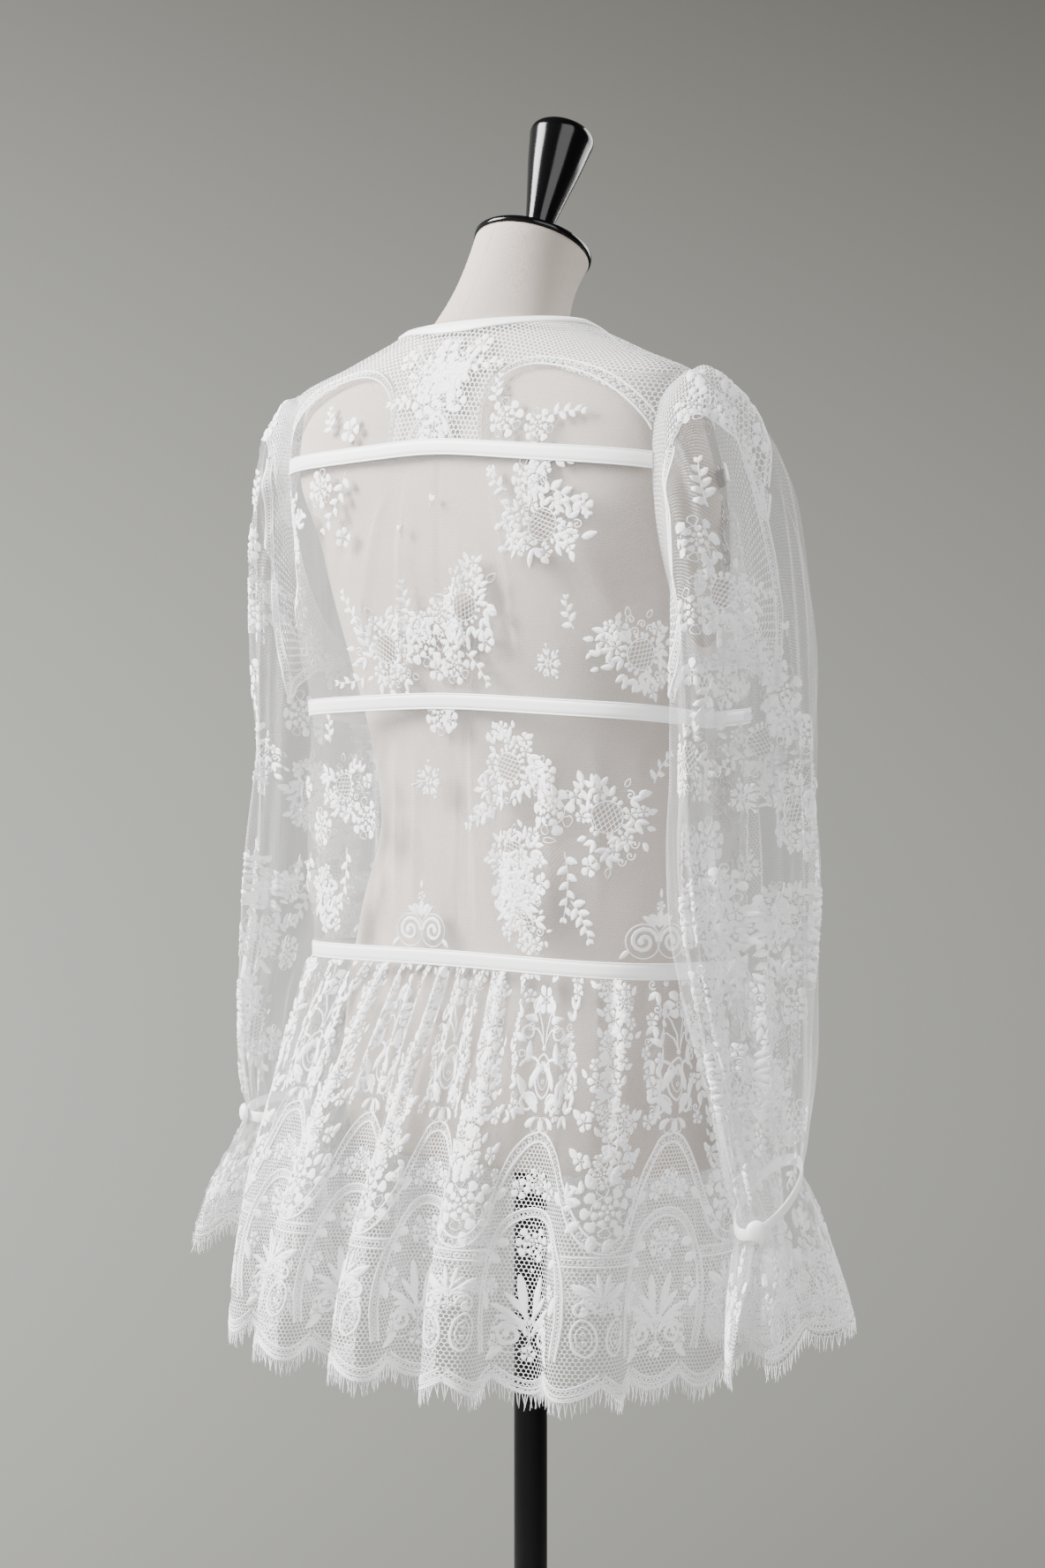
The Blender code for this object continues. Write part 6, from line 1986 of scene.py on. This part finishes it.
def lace_cuff(side):
    """A cuff's lace: little palmettes over its scallops, and sprigs up to the band."""
    cut = np.diag([1 / CUFF_CUT[0], 1 / CUFF_CUT[1]])
    inside = lambda u, v: (u > 0.004) & (u < 0.996) & (v > -1) & (v < -0.02)
    relief = Relief(surface("cuff_" + side), inside, cut)
    for k in range(CUFF_SCALLOPS):
        pen = pens_on(relief, (k + 0.5) / CUFF_SCALLOPS, -1.0, CUFF_CUT[1])
        if k % 2:
            pen(0.016).palmette(0.024)
            pen(0.046).rose(0.0095)
            pen(0.062).leafy(0.014, 5, 0.008)
        else:
            pen(0.014).at(-0.008, 0.004).oval(0.0055, 0.0100)
            pen(0.014).at(0.008, 0.004).oval(0.0055, 0.0100)
            pen(0.030).scrolls(0.019)
            pen(0.050).flower(0.0085, 6)
            pen(0.064).flower(0.0060, 5)
        flowers_beside(pen, (0.040, 0.016, 0.0070, 5))
        for lean in (-1, 1):
            pen(0.052).at(lean * 0.014, 0.0, -lean * 0.6).petal(0.012, 0.007, 0.1)
            pen(0.030).at(lean * 0.018, 0.0, -lean * 0.3).petal(0.011, 0.006, 0.1)
        wave = (k + np.linspace(0, 1, 9)) / CUFF_SCALLOPS
        double_cord(relief, np.stack([wave, -1 + 0.085 + 0 * wave], axis=1), 0.0048, 0.0013)
    return carry(relief.build(f"cuff_{side}_lace"), "lace")


def make_cuffs():
    for side in HANGS:
        lace = lace_cuff(side)
        cuff = surface("cuff_" + side)
        u, v = np.linspace(0.0, 1.0, 97), np.linspace(-1.0, 0.0, 21)
        fields = {"open": lambda u, v: -0.55 - v}
        thing = make_ground(f"cuff_{side}_net", cuff, np.meshgrid(u, v), fields, cut=CUFF_CUT)
        carry(thing, "lace", f"cuff_ruffle_{side}")
        fringe = make_fringe(f"cuff_{side}_fringe", cuff, u, -1.0 + 0 * u, CUFF_STRANDS, CUFF_FRINGE)
        carry(fringe, "lace", f"cuff_fringe_{side}")


# A wrist band's rows: how far each falls below the wrist, and its lift
BAND_PROFILE = [(0.0082, -0.0008), (0.0080, 0.0002), (0.0072, 0.0006), (0.004, 0.0008), (0.0008, 0.0006)]
BAND_PROFILE += [(0.0, 0.0002), (-0.0002, -0.0008)]


def make_cuff_bands():
    """The wrists' narrow satin bands, each with a covered button."""
    for side, hang in HANGS.items():
        wrist = ring_at(SLEEVE, np.array(len(SLEEVE) - 1.0), hang)
        mirror = np.array([hang.side, 1, 1])
        span = 2 * math.pi - 2 * CUFF_SLIT_HALF
        angle = CUFF_SLIT_TURN + CUFF_SLIT_HALF + span * np.linspace(0, 1, 97)
        ring, centre = ring_point({label: size + 0 * angle for label, size in wrist.items()}, angle)
        away = unit((ring - centre) * np.array([1, 1, 0]))
        rows = [ring + away * lift - np.array([0, 0, fall]) for fall, lift in BAND_PROFILE]
        points = np.array(rows)[:, :: hang.side] * mirror
        band = grid_mesh(f"cuff_{side}_band", settled(points), "satin")
        carry(band, "tape", f"cuff_band_{side}")
        make_button(side, wrist, mirror)


def make_button(side, wrist, mirror):
    near = [ring_point(wrist, np.array(CUFF_SLIT_TURN + step))[0] for step in (-1e-3, 0.0, 1e-3)]
    away = np.cross(np.array([0.0, 0.0, 1.0]), near[2] - near[0])
    away *= np.sign(away[0]) / np.linalg.norm(away)
    below = np.array([0.0, 0.0, -CUFF_BAND_HEIGHT / 2 + 0.001])
    place = Vector(away * mirror).to_track_quat("Z", "Y").to_matrix().to_4x4()
    place.translation = Vector(settled((near[1] + below + away * 0.0008) * mirror))
    button = turned_piece(f"cuff_{side}_button", smooth_profile(BUTTON_PROFILE, 3), "satin", 40, place)
    carry(button, "tape", f"cuff_button_{side}")


# The camera as fitted to the photo
CAMERA_PLACE = (-1.254, 1.494, 1.046)
CAMERA_WAY = (0.643, -0.766, 0.0)
CAMERA_LENS = 58.5
CAMERA_SHIFT = -0.0051
# The backdrop's colour in its painted shade and in its painted light
WALL_PAINTED_SHADE = (0.100, 0.097, 0.080, 1)
WALL_PAINTED_LIGHT = (0.76, 0.76, 0.71, 1)
Light = namedtuple("Light", "name place aim size energy colour")
LIGHTS = [
    Light("window_light", (1.6, 1.6, 2.55), (0, 0, 1.15), 1.3, 430.0, (1.0, 0.985, 0.97)),
    Light("room_light", (-2.6, 1.4, 2.4), (0, 0, 1.0), 2.2, 95.0, (1.0, 1.0, 1.0)),
    Light("far_light", (-0.6, -2.6, 2.3), (0, 0, 1.0), 2.0, 120.0, (1.0, 1.0, 1.0)),
]


def make_backdrop():
    """A wall of warm grey with painted light and shade: brightest low on the window side, and painted shade
    darker to the right and the top.
    """
    world = bpy.data.worlds.new("studio_grey")
    world.use_nodes = True
    nodes = Nodes(world.node_tree)
    x, y, z = nodes.split(nodes.node("ShaderNodeTexCoord", output=0))
    sideways = x * 0.46 + y * 0.39
    upward = z + 0.10
    # Painted light and shade on the wall: the share of painted light, highest low on the window side
    share = (sideways - upward * upward * 2.2 + 0.80).math("MAXIMUM", 0.0)
    colour = nodes.mixed((share * share).math("MINIMUM", 1.0), WALL_PAINTED_SHADE, WALL_PAINTED_LIGHT)
    nodes.tree.links.new(colour.socket, nodes.tree.nodes["Background"].inputs["Color"])
    return world


def put_in_scene(name, data, place=(0, 0, 0), way=None):
    thing = bpy.data.objects.new(name, data)
    thing.location = place
    if way:
        thing.rotation_euler = Vector(way).to_track_quat("-Z", "Y").to_euler()
    bpy.context.scene.collection.objects.link(thing)
    return thing


def make_stage():
    """The camera as in the photo, a pale floor, and soft daylight from the window side."""
    scene = bpy.context.scene
    camera_data = bpy.data.cameras.new("camera")
    camera_data.lens = CAMERA_LENS
    camera_data.sensor_width = 36
    camera_data.shift_x = CAMERA_SHIFT
    scene.camera = put_in_scene("camera", camera_data, CAMERA_PLACE, CAMERA_WAY)
    floor_data = bpy.data.meshes.new("floor")
    corners = [(-1, -1, -0.001), (1, -1, -0.001), (1, 1, -0.001), (-1, 1, -0.001)]
    floor_data.from_pydata(corners, [], [(0, 1, 2, 3)])
    floor_data.materials.append(finish("floor"))
    stage = [put_in_scene("floor", floor_data), scene.camera]
    for light in LIGHTS:
        light_data = bpy.data.lights.new(light.name, "AREA")
        light_data.size = light.size
        light_data.energy = light.energy
        light_data.color = light.colour
        way = Vector(light.aim) - Vector(light.place)
        stage.append(put_in_scene(light.name, light_data, light.place, way))
    scene.world = make_backdrop()
    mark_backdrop(*stage)


class BLOUSE_OT_form(bpy.types.Operator):
    """Build the dress form with its neck top and its stand"""

    bl_idname = "blouse.form"
    bl_label = "Dress Form"

    def execute(self, context):
        make_form()
        make_neck_top()
        make_stand()
        return {"FINISHED"}


class BLOUSE_OT_body(bpy.types.Operator):
    """Build the yoke and the two tiers with their lace"""

    bl_idname = "blouse.body"
    bl_label = "Body"

    def execute(self, context):
        make_body()
        return {"FINISHED"}


class BLOUSE_OT_trims(bpy.types.Operator):
    """Build the satin tapes, the neck binding and the label"""

    bl_idname = "blouse.trims"
    bl_label = "Tapes and Label"

    def execute(self, context):
        make_tapes()
        make_label()
        return {"FINISHED"}


class BLOUSE_OT_peplum(bpy.types.Operator):
    """Build the gathered peplum with its lace and its fringe"""

    bl_idname = "blouse.peplum"
    bl_label = "Peplum"

    def execute(self, context):
        make_peplum()
        return {"FINISHED"}


class BLOUSE_OT_sleeves(bpy.types.Operator):
    """Build the two sleeves with their lace"""

    bl_idname = "blouse.sleeves"
    bl_label = "Sleeves"

    def execute(self, context):
        make_sleeves()
        return {"FINISHED"}


class BLOUSE_OT_cuffs(bpy.types.Operator):
    """Build the wrist bands, their buttons and the cuff ruffles"""

    bl_idname = "blouse.cuffs"
    bl_label = "Cuffs"

    def execute(self, context):
        make_cuff_bands()
        make_cuffs()
        return {"FINISHED"}


class BLOUSE_OT_stage(bpy.types.Operator):
    """Set up the camera, the lights, the backdrop and the floor"""

    bl_idname = "blouse.stage"
    bl_label = "Stage"

    def execute(self, context):
        make_stage()
        return {"FINISHED"}


class BLOUSE_PT_sidebar(bpy.types.Panel):
    """The blouse's settings and the steps that build it"""

    bl_idname = "BLOUSE_PT_sidebar"
    bl_label = "Lace Blouse"
    bl_space_type = "VIEW_3D"
    bl_region_type = "UI"
    bl_category = "Blouse"

    def draw(self, context):
        column = self.layout.column(align=True)
        for name in BlouseSettings.__annotations__:
            column.prop(context.scene.blouse, name)
        column.separator()
        for kind in OPERATORS:
            column.operator(kind.bl_idname)


OPERATORS = (
    BLOUSE_OT_form,
    BLOUSE_OT_body,
    BLOUSE_OT_trims,
    BLOUSE_OT_peplum,
    BLOUSE_OT_sleeves,
    BLOUSE_OT_cuffs,
    BLOUSE_OT_stage,
)
CLASSES = (BlouseSettings, *OPERATORS, BLOUSE_PT_sidebar)


def register():
    for kind in CLASSES:
        bpy.utils.register_class(kind)
    bpy.types.Scene.blouse = bpy.props.PointerProperty(type=BlouseSettings)


def unregister():
    del bpy.types.Scene.blouse
    for kind in reversed(CLASSES):
        bpy.utils.unregister_class(kind)


def main():
    register()
    bpy.ops.blouse.form()
    bpy.ops.blouse.body()
    bpy.ops.blouse.trims()
    bpy.ops.blouse.peplum()
    bpy.ops.blouse.sleeves()
    bpy.ops.blouse.cuffs()
    bpy.ops.blouse.stage()
    bounds = {"cad": CAD_BOUNDS, "scene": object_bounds()}
    boxes = {name: [list(corner) for corner in box] for name, box in bounds.items()}


if __name__ == "__main__":
    main()
